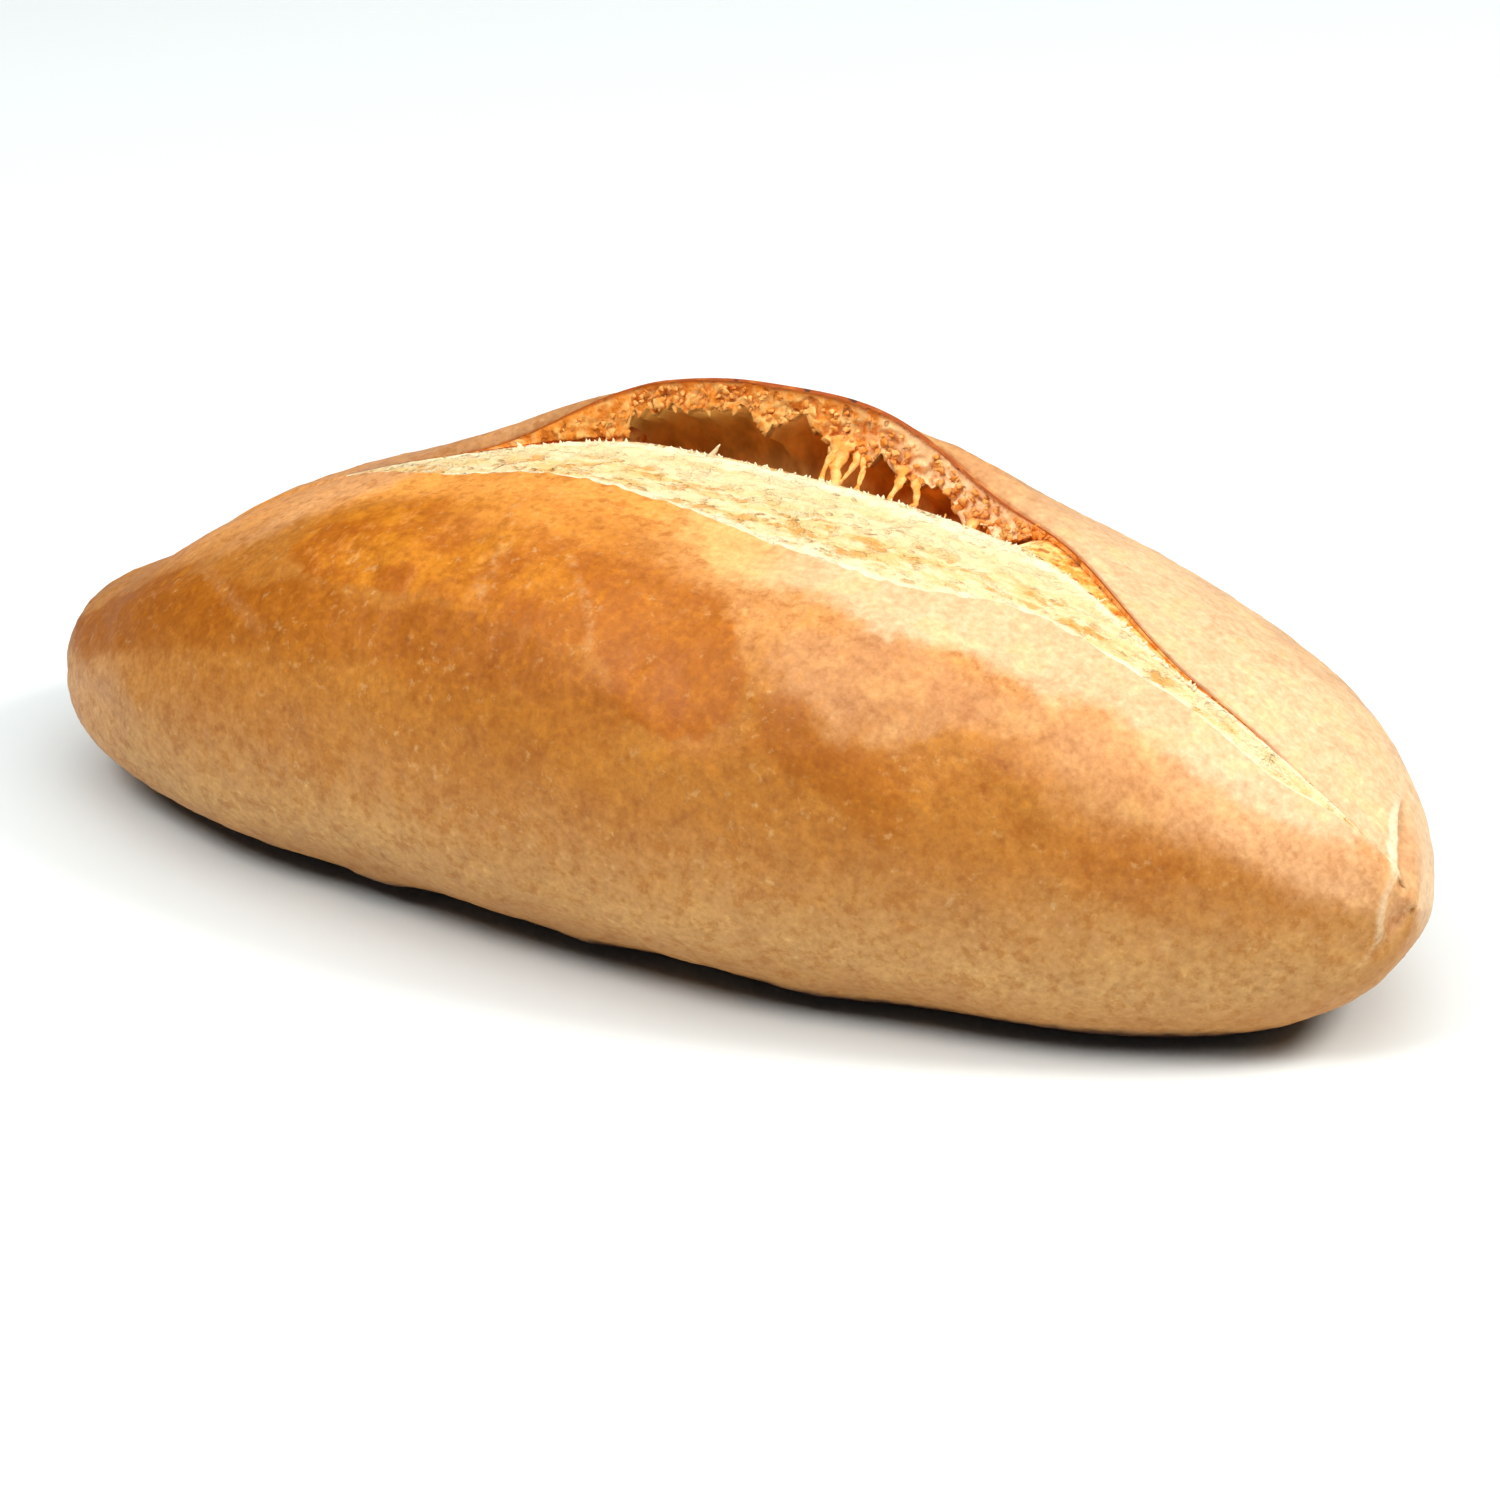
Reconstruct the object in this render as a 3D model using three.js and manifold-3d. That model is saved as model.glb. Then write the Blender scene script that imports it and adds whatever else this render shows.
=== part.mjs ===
// Crusty oval bread roll with one lengthwise slash, opened into an ear over a torn hollow.
// Millimetres, +Z up, X along the roll, -Y towards its browned front. The flat base is at z = 0.
import * as THREE from 'three';
import Module from 'manifold-3d';

// ---- Loaf ------------------------------------------------------------------------------
const HALF_LENGTH = 85;
const FRONT_WIDTH = 33.3;       // from the slash's axis to the front at mid length
const BACK_WIDTH = 41;          // and to the back
const CROWN_HEIGHT = 48;        // top of the plain loaf, without the ear
const TIP_HEIGHT_LEFT = 15.4;
const TIP_HEIGHT_RIGHT = 18.8;
const BASE_DIP = 1.8;           // how far the round underside would reach below the flat base
const WAIST = 0.479;            // height of the widest line, as a share of the section
const UPPER_SQUARENESS = 2.34;  // superellipse exponents of the section
const LOWER_SQUARENESS = 2.41;
const TIP_ROUNDING = 0.15;      // share of each end that is blunt
const TAPER_LEFT = [2.02, 0.363];
const TAPER_RIGHT_FRONT = [1.99, 1.01];
const TAPER_RIGHT_BACK = [3.1, 0.508];
const TAPER_CROWN_LEFT = [2.46, 1.26];
const TAPER_CROWN_RIGHT = [2.71, 0.927];
const TAPER_KEEL = [6, 0.5];
// Low rises and dips of the crown: [x, spread to the left, spread to the right, height]
const CROWN_BUMPS = [
  [-84.3, 2, 2.2, 1.1],
  [-75.5, 3.5, 3.5, -0.7],
  [-64, 5, 8, 0.7],
];

// ---- Slash and ear ---------------------------------------------------------------------
const SLASH_FROM = -50;
const SLASH_TO = 79;
const AXIS_LEFT = 5.2;          // y of the slash's axis at its two ends
const AXIS_RIGHT = -3.3;
// Width of the pale face in front of the axis, and where it swells
const PALE_FACE = { left: 5.1, right: 2.4, narrows: [-5, 40], opens: [-54, -36], closes: [76, 84] };
const PALE_FACE_SWELL = { width: 5.7, at: 24.5, left: 13, right: 8.5 };
const PALE_FACE_BULGE = 1;
const TEAR = { width: 7.1, opens: [-40, -14], closes: [34, 60] };
const MOUTH = { width: 8.5, at: 19.6, left: 20.2, right: 14.5 };
const EAR = { height: 7.6, at: -3, parts: [-42, -14], drop: 20 };
const EAR_LIP = 1;              // height that the rim keeps towards the slash's ends
const CRUST_BEHIND = { at: -3, left: 20, right: 20.5, within: 1.8 };
// Shoulders of the crust behind the rim: [x, spread to the left, spread to the right, height]
const SHOULDERS = [
  [20.5, 5, 7, 1.3],
  [-23, 5, 4, 0.5],
];
const HOLLOW = { opens: [-20.5, -17], closes: [24, 36] };
const CRUMB_FACE = 3.1;         // depth of the ear's inner face, from rim to torn edge
const EAR_FALL = 62;            // degrees of the section over which the ear runs out behind
// Torn edge under the ear: [x, half width, how far the tooth hangs]
const TEETH = [
  [-13, 1.4, -0.5],
  [-9.8, 1.2, 0.5],
  [-6, 1.6, -0.3],
  [-1.6, 1.5, 2.2],
  [3.2, 2, -0.5],
  [6.2, 1.3, 0.5],
  [9.4, 1.8, 1.1],
  [12.5, 1.3, -0.4],
  [15.4, 1.8, 0.9],
  [19, 1.4, -0.4],
  [23, 1.8, 1],
  [8.5, 5, 1.9],
  [16, 5, 1.5],
  [28, 4.5, 1.7],
];
// Crumb strands across the hollow: [x at the pale face, x under the ear, thickness]
const STRANDS = [
  [8.9, 5.8, 1.6],
  [10, 9, 1.3],
  [12, 9.8, 0.8],
  [17.6, 13.9, 1],
  [19.7, 16.2, 1.1],
  [27.5, 23.6, 1],
  [30, 26.4, 0.9],
];

// ---- Crust relief ----------------------------------------------------------------------
const WAVE = 0.28;
const DENTS = { count: 22, depth: 0.42, radius: [4.5, 8.5] };
// Bumps along the foot: [x, angle in degrees, radius, height]
const FOOT_BUMPS = [
  [-31, -47, 4.5, 0.8],
  [-3, -52, 4, 0.6],
  [24, -50, 6, 0.5],
];
// Seam round the blunt right end: its x, and how it turns back above and below some angles
const SEAM = { depth: 0.8, x: 83, top: 86, topSlope: 0.14, bottom: -6, bottomSlope: 0.1, from: -20, to: 118 };

// ---- Mesh density ----------------------------------------------------------------------
const RINGS = { left: 18, middle: 52, right: 24, middleFrom: -28, middleTo: 38 };
const AROUND = { front: 18, face: 4, hollow: 7, crumb: 2, rim: 2, back: 17 };

const rad = THREE.MathUtils.degToRad;
const clamp = THREE.MathUtils.clamp;
const smooth = (from, to, x) => THREE.MathUtils.smoothstep(x, from, to);

function bell(x, shape) {
  const spread = x < shape.at ? shape.left : shape.right;
  return Math.exp(-0.5 * ((x - shape.at) / spread) ** 2);
}

function opening(x, { opens, closes }) {
  return smooth(...opens, x) * (1 - smooth(...closes, x));
}

function taper(r, [power, root], rounding = 0) {
  const plain = (1 - r ** power) ** root;
  const blunt = Math.sqrt(1 - r ** 14);
  return (1 - rounding) * plain + rounding * blunt;
}

// Half widths and heights of the plain loaf at x.
function body(x) {
  const r = Math.min(Math.abs(x) / HALF_LENGTH, 1);
  const onLeft = x < 0;
  const front = onLeft ? taper(r, TAPER_LEFT) : taper(r, TAPER_RIGHT_FRONT, TIP_ROUNDING);
  const back = onLeft ? taper(r, TAPER_LEFT) : taper(r, TAPER_RIGHT_BACK);
  const tip = TIP_HEIGHT_LEFT + (TIP_HEIGHT_RIGHT - TIP_HEIGHT_LEFT) * smooth(-1, 1, x / HALF_LENGTH);
  const rise = taper(r, onLeft ? TAPER_CROWN_LEFT : TAPER_CROWN_RIGHT, TIP_ROUNDING);
  let crown = tip + (CROWN_HEIGHT - tip) * rise;
  for (const [at, left, right, height] of CROWN_BUMPS) crown += height * bell(x, { at, left, right });
  const keel = tip - (tip + BASE_DIP) * taper(r, TAPER_KEEL);
  const waist = keel + (crown - keel) * WAIST;
  return { front: FRONT_WIDTH * front, back: BACK_WIDTH * back, crown, keel, waist };
}

// Point of the plain loaf's section. The angle runs from the keel (-90 degrees) over the front (0)
// and the top (90) to the back (180).
function sectionPoint(b, angle) {
  const c = Math.cos(angle);
  const s = Math.sin(angle);
  const power = 2 / (s >= 0 ? UPPER_SQUARENESS : LOWER_SQUARENESS);
  const half = c > 0 ? b.front : b.back;
  const height = s >= 0 ? b.crown - b.waist : b.waist - b.keel;
  return [
    -half * Math.sign(c) * Math.abs(c) ** power,
    b.waist + height * Math.sign(s) * Math.abs(s) ** power,
  ];
}

// Angle on the upper half at a share (-1 front to 1 back) of the half width.
function topAngle(share) {
  return Math.acos(clamp(-Math.sign(share) * Math.abs(share) ** (UPPER_SQUARENESS / 2), -1, 1));
}

function tornEdge(x) {
  let drop = 0.22 * Math.sin(x * 1.9) + 0.18 * Math.sin(x * 1.1 + 2);
  for (const [at, half, hang] of TEETH) drop += hang * Math.exp(-(((x - at) / half) ** 2));
  return drop;
}

// The slash's lines at x, as shares of the half width, and the sizes of what opens between them.
function slash(x, b) {
  const u = clamp((x - SLASH_FROM) / (SLASH_TO - SLASH_FROM), 0, 1);
  const axis = AXIS_LEFT + (AXIS_RIGHT - AXIS_LEFT) * u;
  const narrow = (PALE_FACE.left - PALE_FACE.right) * smooth(...PALE_FACE.narrows, x);
  const pale = PALE_FACE.left - narrow + PALE_FACE_SWELL.width * bell(x, PALE_FACE_SWELL);
  const lip = axis - 0.25 - pale * opening(x, PALE_FACE);
  const tear = axis + 0.1 + TEAR.width * opening(x, TEAR);
  const cut = 0.08 + 0.92 * smooth(0, 0.05, u) * (1 - smooth(0.9, 0.97, u));
  const mouth = MOUTH.width * bell(x, MOUTH) * smooth(0, 0.06, u) * (1 - smooth(0.88, 1, u));
  const rim = tear + 0.35 * cut + mouth;
  const shrink = Math.min(1, b.front / 14, b.back / 14);
  const share = (y) => (y * shrink) / Math.max(y < 0 ? b.front : b.back, 1e-6);
  const lipHeight = EAR_LIP * smooth(0, 0.12, u) * (1 - smooth(0.7, 0.97, u));
  let behind = EAR.height * bell(x, CRUST_BEHIND) * smooth(0, 0.2, u) + lipHeight;
  for (const [at, left, right, height] of SHOULDERS) behind += height * bell(x, { at, left, right });
  const rising = behind * smooth(...EAR.parts, x) + 0.35 * EAR_LIP * smooth(-25, EAR.at, x);
  const falling = EAR.height * Math.exp(-0.5 * ((x - EAR.at) / EAR.drop) ** 4) + 1.35 * lipHeight;
  return {
    lip: share(lip),
    tear: share(tear),
    rim: share(rim),
    cut,
    ear: x < EAR.at ? rising : falling,
    behind,
    hollow: opening(x, HOLLOW),
    bulge: PALE_FACE_BULGE * Math.sin(Math.PI * u),
  };
}

// The edges of the slash at x, as [y, z]: the tear, the torn edge under the ear and the ear's rim.
function edges(x) {
  const b = body(x);
  const s = slash(x, b);
  const [tearY, tearZ] = sectionPoint(b, topAngle(s.tear));
  const [rimY, rimZ] = sectionPoint(b, topAngle(s.rim));
  const shallow = 0.86 * Math.max(s.ear - 0.8 * s.bulge, 0.12 * s.cut);
  const face = Math.max((CRUMB_FACE + tornEdge(x)) * s.hollow + (1 - s.hollow) * shallow, 0.1 * s.cut);
  const tear = [tearY, tearZ + s.bulge];
  const rim = [rimY, rimZ + s.ear];
  return { b, s, tear, rim, torn: [rim[0] - 0.25 * face, rim[1] - face] };
}

// One closed section, as [y, z, angle, share of the crust relief] points.
function section(x) {
  const { b, s, tear, rim, torn } = edges(x);
  const points = [];
  const lipAngle = topAngle(s.lip);
  for (let i = 0; i < AROUND.front; i++) {
    const angle = rad(-90) + (lipAngle - rad(-90)) * (i / AROUND.front);
    points.push([...sectionPoint(b, angle), angle, 1]);
  }
  for (let i = 0; i < AROUND.face; i++) {
    const t = i / AROUND.face;
    const angle = topAngle(s.lip + (s.tear - s.lip) * t);
    const [y, z] = sectionPoint(b, angle);
    points.push([y, z + s.bulge * Math.sin((Math.PI / 2) * t), angle, 1 - t]);
  }
  const k = Math.max(s.hollow, 0.03 * s.cut);
  const hollow = new THREE.CatmullRomCurve3([
    [tear[0], tear[1]],
    [tear[0] + 0.3 * k, tear[1] - 3.8 * k],
    [tear[0] + 4.2 * k, tear[1] - 8 * k],
    [tear[0] + 10.5 * k, tear[1] - 7 * k],
    [torn[0] + 6 * k, torn[1] - 4.2 * k],
    [torn[0], torn[1]],
  ].map(([y, z]) => new THREE.Vector3(0, y, z)), false, 'catmullrom', 0.5);
  for (let i = 0; i < AROUND.hollow; i++) {
    const p = hollow.getPoint(i / AROUND.hollow);
    points.push([p.y, p.z, 0, 0]);
  }
  for (let i = 0; i < AROUND.crumb; i++) {
    const t = i / AROUND.crumb;
    const y = torn[0] + (rim[0] - torn[0]) * t + 0.6 * s.hollow * Math.sin(Math.PI * t);
    points.push([y, torn[1] + (rim[1] - torn[1]) * t, 0, 0]);
  }
  const thick = (0.3 + 0.1 * s.ear) * s.cut;
  const outer = [rim[0] + 0.95 * thick, rim[1] - 0.2 * thick];
  for (let i = 0; i < AROUND.rim; i++) {
    const t = i / AROUND.rim;
    const z = rim[1] + (outer[1] - rim[1]) * t + 0.2 * thick * Math.sin(Math.PI * t);
    points.push([rim[0] + (outer[0] - rim[0]) * t, z, 0, 0]);
  }
  const half = outer[0] > 0 ? b.back : b.front;
  const backAngle = topAngle(Math.min(outer[0] / Math.max(half, 1e-6), 0.97));
  const [y0, z0] = sectionPoint(b, backAngle);
  for (let i = 0; i < AROUND.back; i++) {
    const angle = backAngle + (rad(270) - backAngle) * (i / AROUND.back);
    const near = clamp(1 - (angle - backAngle) / rad(EAR_FALL), 0, 1) ** 2.2;
    const [plainY, plainZ] = sectionPoint(b, angle);
    const y = plainY + (outer[0] - y0) * near;
    const z = plainZ + (outer[1] - z0) * near;
    const far = Math.hypot(y - outer[0], z - outer[1]) / CRUST_BEHIND.within;
    const curl = (s.behind - s.ear) * near * (1 - Math.exp(-(far ** 2)));
    points.push([y, z + curl, angle, 1 - near]);
  }
  return points;
}

function ringPlaces() {
  const { left, middle, right, middleFrom, middleTo } = RINGS;
  const places = [];
  for (let i = 1; i < left; i++) {
    places.push(-HALF_LENGTH + (HALF_LENGTH + middleFrom) * (1 - Math.cos((Math.PI / 2) * (i / left))));
  }
  for (let i = 0; i <= middle; i++) places.push(middleFrom + (middleTo - middleFrom) * (i / middle));
  for (let i = right - 1; i > 0; i--) {
    places.push(HALF_LENGTH - (HALF_LENGTH - middleTo) * (1 - Math.cos((Math.PI / 2) * (i / right))));
  }
  return places;
}

// Height of the crust's relief over the plain loaf.
function relief({ x, angle }) {
  let h = WAVE * (Math.sin(x / 9 + 1.3) * Math.cos(2 * angle + 0.4) + 0.6 * Math.sin(x / 5.2 + 3 * angle));
  for (let i = 1; i <= DENTS.count; i++) {
    const at = -74 + 146 * ((i * 0.7549) % 1);
    const where = rad(-25 + 105 * ((i * 0.5698) % 1));
    const radius = DENTS.radius[0] + (DENTS.radius[1] - DENTS.radius[0]) * ((i * 0.3711) % 1);
    h -= DENTS.depth * Math.exp(-((((x - at) ** 2 + (30 * (angle - where)) ** 2) / radius ** 2) ** 2));
  }
  for (const [at, where, radius, height] of FOOT_BUMPS) {
    h += height * Math.exp(-((x - at) ** 2 + (30 * (angle - rad(where))) ** 2) / radius ** 2);
  }
  const degrees = THREE.MathUtils.radToDeg(angle);
  const turned = SEAM.topSlope * Math.max(degrees - SEAM.top, 0)
    + SEAM.bottomSlope * Math.max(SEAM.bottom - degrees, 0);
  const across = 1.8 * (x - (SEAM.x - turned));
  const inside = smooth(SEAM.from - 12, SEAM.from, degrees) * (1 - smooth(SEAM.to - 6, SEAM.to + 6, degrees));
  h += 0.35 * SEAM.depth * inside * Math.exp(-((across / 0.7) ** 2));
  h -= SEAM.depth * inside * Math.exp(-(((across - 1.5) / 1.1) ** 2));
  return h;
}

// A closed surface through the rings, with a point at each end.
function loafGeometry() {
  const ring = (x) => section(x).map(([y, z, angle, share]) => ({ x, y, z, angle, share }));
  const rings = ringPlaces().map(ring);
  const around = rings[0].length;
  const vertices = rings.flat();
  const tips = [
    { x: -HALF_LENGTH, y: 0, z: body(-HALF_LENGTH).waist, share: 0 },
    { x: HALF_LENGTH, y: 0, z: body(HALF_LENGTH).waist, share: 0 },
  ];
  vertices.push(...tips);
  const index = [];
  const last = (rings.length - 1) * around;
  for (let j = 0; j < around; j++) {
    const next = (j + 1) % around;
    for (let i = 0; i < last; i += around) {
      index.push(i + j, i + around + j, i + around + next);
      index.push(i + j, i + around + next, i + next);
    }
    index.push(vertices.length - 2, j, next);
    index.push(last + j, vertices.length - 1, last + next);
  }
  const geometry = new THREE.BufferGeometry();
  const positions = new THREE.Float32BufferAttribute(vertices.flatMap((v) => [v.x, v.y, v.z]), 3);
  geometry.setAttribute('position', positions);
  geometry.setIndex(index);
  geometry.computeVertexNormals();
  const normals = geometry.getAttribute('normal');
  vertices.forEach((v, i) => {
    const h = v.share ? v.share * relief(v) : 0;
    positions.setXYZ(
      i,
      v.x + h * normals.getX(i),
      v.y + h * normals.getY(i),
      Math.max(v.z + h * normals.getZ(i), 0),
    );
  });
  return geometry;
}

// A crumb strand from inside the pale face to inside the ear, thick at both ends.
function strandGeometry([xLow, xHigh, thickness], number) {
  const low = edges(xLow).tear;
  const high = edges(xHigh).torn;
  const length = Math.hypot(xHigh - xLow, high[0] - low[0], high[1] - low[1]);
  const bend = 0.05 * length * (number % 2 ? 1 : -1);
  const between = (t, sag) => new THREE.Vector3(
    xLow + (xHigh - xLow) * t + bend * t,
    low[0] + (high[0] - low[0]) * t,
    low[1] + (high[1] - low[1]) * t - sag * length,
  );
  const path = new THREE.CatmullRomCurve3([
    new THREE.Vector3(xLow, low[0] - 0.9, low[1] - 1.7),
    between(0.35, 0.06),
    between(0.7, 0.05),
    new THREE.Vector3(xHigh, high[0] + 1.6, high[1] + 0.9),
  ]);
  const steps = 6;
  const sides = 6;
  const frames = path.computeFrenetFrames(steps);
  const points = [];
  const index = [];
  for (let i = 0; i <= steps; i++) {
    const centre = path.getPointAt(i / steps);
    const radius = (thickness / 2) * (1 + 0.9 * (2 * (i / steps) - 1) ** 2);
    for (let j = 0; j < sides; j++) {
      const turn = (2 * Math.PI * j) / sides;
      const point = centre.clone().addScaledVector(frames.normals[i], radius * Math.cos(turn));
      points.push(point.addScaledVector(frames.binormals[i], radius * Math.sin(turn)));
      const here = i * sides + j;
      const beside = i * sides + ((j + 1) % sides);
      if (i < steps) index.push(here, beside, here + sides, beside, beside + sides, here + sides);
    }
  }
  const top = steps * sides;
  for (let j = 1; j < sides - 1; j++) index.push(0, j + 1, j, top, top + j, top + j + 1);
  return new THREE.BufferGeometry().setFromPoints(points).setIndex(index);
}

const wasm = await Module();
wasm.setup();

function toManifold(geometry) {
  return new wasm.Manifold(new wasm.Mesh({
    numProp: 3,
    vertProperties: new Float32Array(geometry.getAttribute('position').array),
    triVerts: new Uint32Array(geometry.index.array),
  }));
}

function toGeometry(manifold) {
  const mesh = manifold.getMesh();
  const geometry = new THREE.BufferGeometry();
  geometry.setAttribute('position', new THREE.Float32BufferAttribute(mesh.vertProperties, 3));
  geometry.setIndex([...mesh.triVerts]);
  geometry.computeVertexNormals();
  return geometry;
}

const solids = [loafGeometry(), ...STRANDS.map(strandGeometry)].map(toManifold);
const geometry = toGeometry(wasm.Manifold.union(solids));
geometry.computeBoundingBox();
const middle = geometry.boundingBox.getCenter(new THREE.Vector3());

const crust = new THREE.MeshStandardMaterial({ color: 0xd79a55, roughness: 0.72, metalness: 0 });
const loaf = new THREE.Mesh(geometry, crust);
loaf.name = 'bread_roll';
loaf.position.set(-middle.x, -middle.y, 0);

const roll = new THREE.Group();
roll.name = 'slashed_bread_roll';
roll.add(loaf);

export default roll;
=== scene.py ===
"""A slashed oval bread roll: its crust, torn slash, crumb strands and shreds, on a pale floor."""
import math
from collections import namedtuple
from functools import lru_cache

import bpy
import numpy as np
from bpy.props import FloatProperty, FloatVectorProperty, PointerProperty
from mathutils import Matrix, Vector


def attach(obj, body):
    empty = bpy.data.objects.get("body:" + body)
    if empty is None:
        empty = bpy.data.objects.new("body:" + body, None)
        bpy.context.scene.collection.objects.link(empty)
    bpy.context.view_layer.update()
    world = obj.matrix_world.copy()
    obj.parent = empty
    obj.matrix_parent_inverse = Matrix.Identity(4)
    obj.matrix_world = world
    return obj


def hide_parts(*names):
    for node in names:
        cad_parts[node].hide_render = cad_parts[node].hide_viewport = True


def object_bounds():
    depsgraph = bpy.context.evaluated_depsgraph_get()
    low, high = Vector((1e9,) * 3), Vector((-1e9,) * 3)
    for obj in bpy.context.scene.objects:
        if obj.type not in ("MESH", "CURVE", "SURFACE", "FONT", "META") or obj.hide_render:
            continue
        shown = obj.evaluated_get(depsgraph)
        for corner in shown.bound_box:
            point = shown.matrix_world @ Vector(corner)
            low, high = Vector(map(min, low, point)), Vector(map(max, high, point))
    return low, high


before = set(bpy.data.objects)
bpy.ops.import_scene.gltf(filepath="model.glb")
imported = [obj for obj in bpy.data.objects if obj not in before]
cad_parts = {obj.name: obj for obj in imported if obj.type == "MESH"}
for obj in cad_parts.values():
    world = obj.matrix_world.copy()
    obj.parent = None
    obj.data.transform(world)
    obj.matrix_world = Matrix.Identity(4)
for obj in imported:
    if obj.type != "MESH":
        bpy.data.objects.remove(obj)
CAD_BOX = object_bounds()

bl_info = {
    "name": "Slashed bread roll",
    "version": (1, 0, 0),
    "blender": (4, 5, 0),
    "location": "View3D > Sidebar > Bread",
    "description": "Builds a crusty oval bread roll with one lengthwise slash",
    "category": "Object",
}

MM = 0.001
PER_METRE = 1000
TINY = 1e-6
NODE = "bread_roll"
BODY = "root"
BOX_MARGIN = 0.04       # left free inside the solid's box on every side, in millimetres


# ---------------------------------------------------------------------------------------
# Properties
# ---------------------------------------------------------------------------------------

def length(name, millimetres, description):
    """A length property, stated in millimetres and kept in metres."""
    return FloatProperty(name=name, description=description, default=millimetres * MM,
                         unit="LENGTH", subtype="DISTANCE", precision=5)


def share(name, value, description):
    """A plain number."""
    return FloatProperty(name=name, description=description, default=value, precision=4)


def colour(name, rgb, description):
    """A colour, stated as display values from 0 to 255 and kept linear."""
    linear = [((c / 255 + 0.055) / 1.055) ** 2.4 if c > 10 else c / 255 / 12.92 for c in rgb]
    return FloatVectorProperty(name=name, description=description, default=linear,
                               subtype="COLOR", size=3, min=0, max=1)


class LoafSizes(bpy.types.PropertyGroup):
    half_length: length("Half length", 85, "Half the loaf's length")
    front_width: length("Front width", 33.3, "From the slash's axis to the front at mid length")
    back_width: length("Back width", 41, "From the slash's axis to the back at mid length")
    crown_height: length("Crown height", 48, "Top of the plain loaf, without the ear")
    tip_left: length("Left tip height", 15.4, "Height of the left tip's point")
    tip_right: length("Right tip height", 18.8, "Height of the right tip's point")
    base_dip: length("Base dip", 1.8, "How far the round underside would reach below the base")
    waist: share("Waist", 0.479, "Height of the widest line, as a share of the section")
    upper_squareness: share("Upper squareness", 2.34, "Exponent of the section's upper half")
    lower_squareness: share("Lower squareness", 2.41, "Exponent of the section's lower half")
    tip_rounding: share("Tip rounding", 0.15, "Share of each end that is blunt")
    wave: length("Wave", 0.28, "Height of the crust's long waves")
    dent_depth: length("Dent depth", 0.42, "Depth of the crust's shallow dents")
    grain: length("Grain", 0.1, "Height of the crust's fine grain")
    fold_depth: length("Fold depth", 0.9, "Depth of the seam round the right end")


class SlashSizes(bpy.types.PropertyGroup):
    start: length("Start", -50, "Where the slash starts, along the loaf")
    end: length("End", 79, "Where the slash ends, along the loaf")
    axis_left: length("Axis at the left", 5.2, "Sideways place of the slash's axis at its start")
    axis_right: length("Axis at the right", -3.3, "Sideways place of the slash's axis at its end")
    pale_face: length("Pale face", 5.1, "Width of the pale face in front of the axis, at the left")
    pale_narrow: length("Pale face at the right", 2.4, "Its width in front of the axis at the right")
    pale_swell: length("Pale face swell", 5.7, "How much wider it is beside the mouth's right half")
    tear: length("Tear", 7.1, "Width of the pale face behind the axis")
    mouth: length("Mouth", 8.5, "Widest gap between the pale face and the ear's rim")
    ear_height: length("Ear height", 7.6, "How far the ear stands over the plain loaf")
    ear_shoulder: length("Ear shoulder", 1.3, "Extra height of the crust behind the rim's right part")
    ear_lip: length("Ear lip", 1, "Height that the rim keeps towards the slash's ends")
    bulge: length("Bulge", 1, "How far the pale face bulges")
    crumb_face: length("Crumb face", 3.1, "Depth of the ear's inner face")


class RollColours(bpy.types.PropertyGroup):
    golden: colour("Golden", (186, 118, 42), "The crust's main colour")
    tan: colour("Tan", (202, 152, 88), "The crust near the foot")
    brown: colour("Brown", (168, 94, 10), "The darker bands of the crust")
    amber: colour("Amber", (176, 94, 8), "The deeper spots of the glowing upper patch")
    orange: colour("Orange", (208, 128, 26), "The glowing upper patch of the crust")
    bright: colour("Bright", (236, 158, 74), "The light crust just below the slash")
    peach: colour("Peach", (202, 141, 86), "The smooth light patches of the crust")
    caramel: colour("Caramel", (218, 153, 88), "The crust between the amber and the light patches")
    honey: colour("Honey", (232, 184, 112), "The light crust under the slash's middle")
    rose: colour("Rose", (228, 172, 120), "The light crust of the right end")
    pale: colour("Pale", (228, 191, 148), "The crust beside the slash and on the back")
    # Underside: the dark baked base, also used for dark spots on the rim. The base is painted darker
    # so that it also gives painted shade where the loaf meets the floor
    underside: colour("Underside", (58, 28, 12), "The dark baked base")
    cap: colour("End cap", (208, 152, 102), "The crust beyond the seam of the right end")
    # Vein: fine light specks in the crust, and also the painted highlight of the glint lines
    vein_and_glint: colour("Vein", (226, 184, 122), "Fine light specks in the crust")
    crumb: colour("Crumb", (236, 214, 168), "The pale face of the slash")
    crumb_shade: colour("Crumb shade", (230, 194, 128), "Duller streaks in the pale face")
    crumb_edge: colour("Crumb edge", (250, 238, 204), "The raised edges of the pale face")
    crumb_pit: colour("Crumb pit", (214, 150, 70), "Pits in the pale face")
    ear: colour("Ear", (236, 145, 54), "The crumb on the ear's inner face")
    ear_light: colour("Ear light", (251, 194, 114), "The lighter crumb on the ear's inner face")
    # Ear pale: paler crumb towards the ear's right end, made lighter also as painted light where that
    # part lies in shade
    ear_pale_and_lit: colour("Ear pale", (255, 222, 172), "The palest crumb, towards the ear's right end")
    # Rim: also serves as painted shade in the pores, holes and low places of the ear's crumb
    rim: colour("Rim", (164, 74, 12), "The crust's cut edge along the ear")
    hollow: colour("Hollow", (255, 216, 138), "The torn hollow's walls")
    # Hollow dark: painted shade at the hollow's bottom, and the darker brown of its right part
    hollow_dark: colour("Hollow dark", (228, 144, 52), "The bottom of the torn hollow")
    floor: colour("Floor", (238, 246, 248), "The floor")


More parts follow.
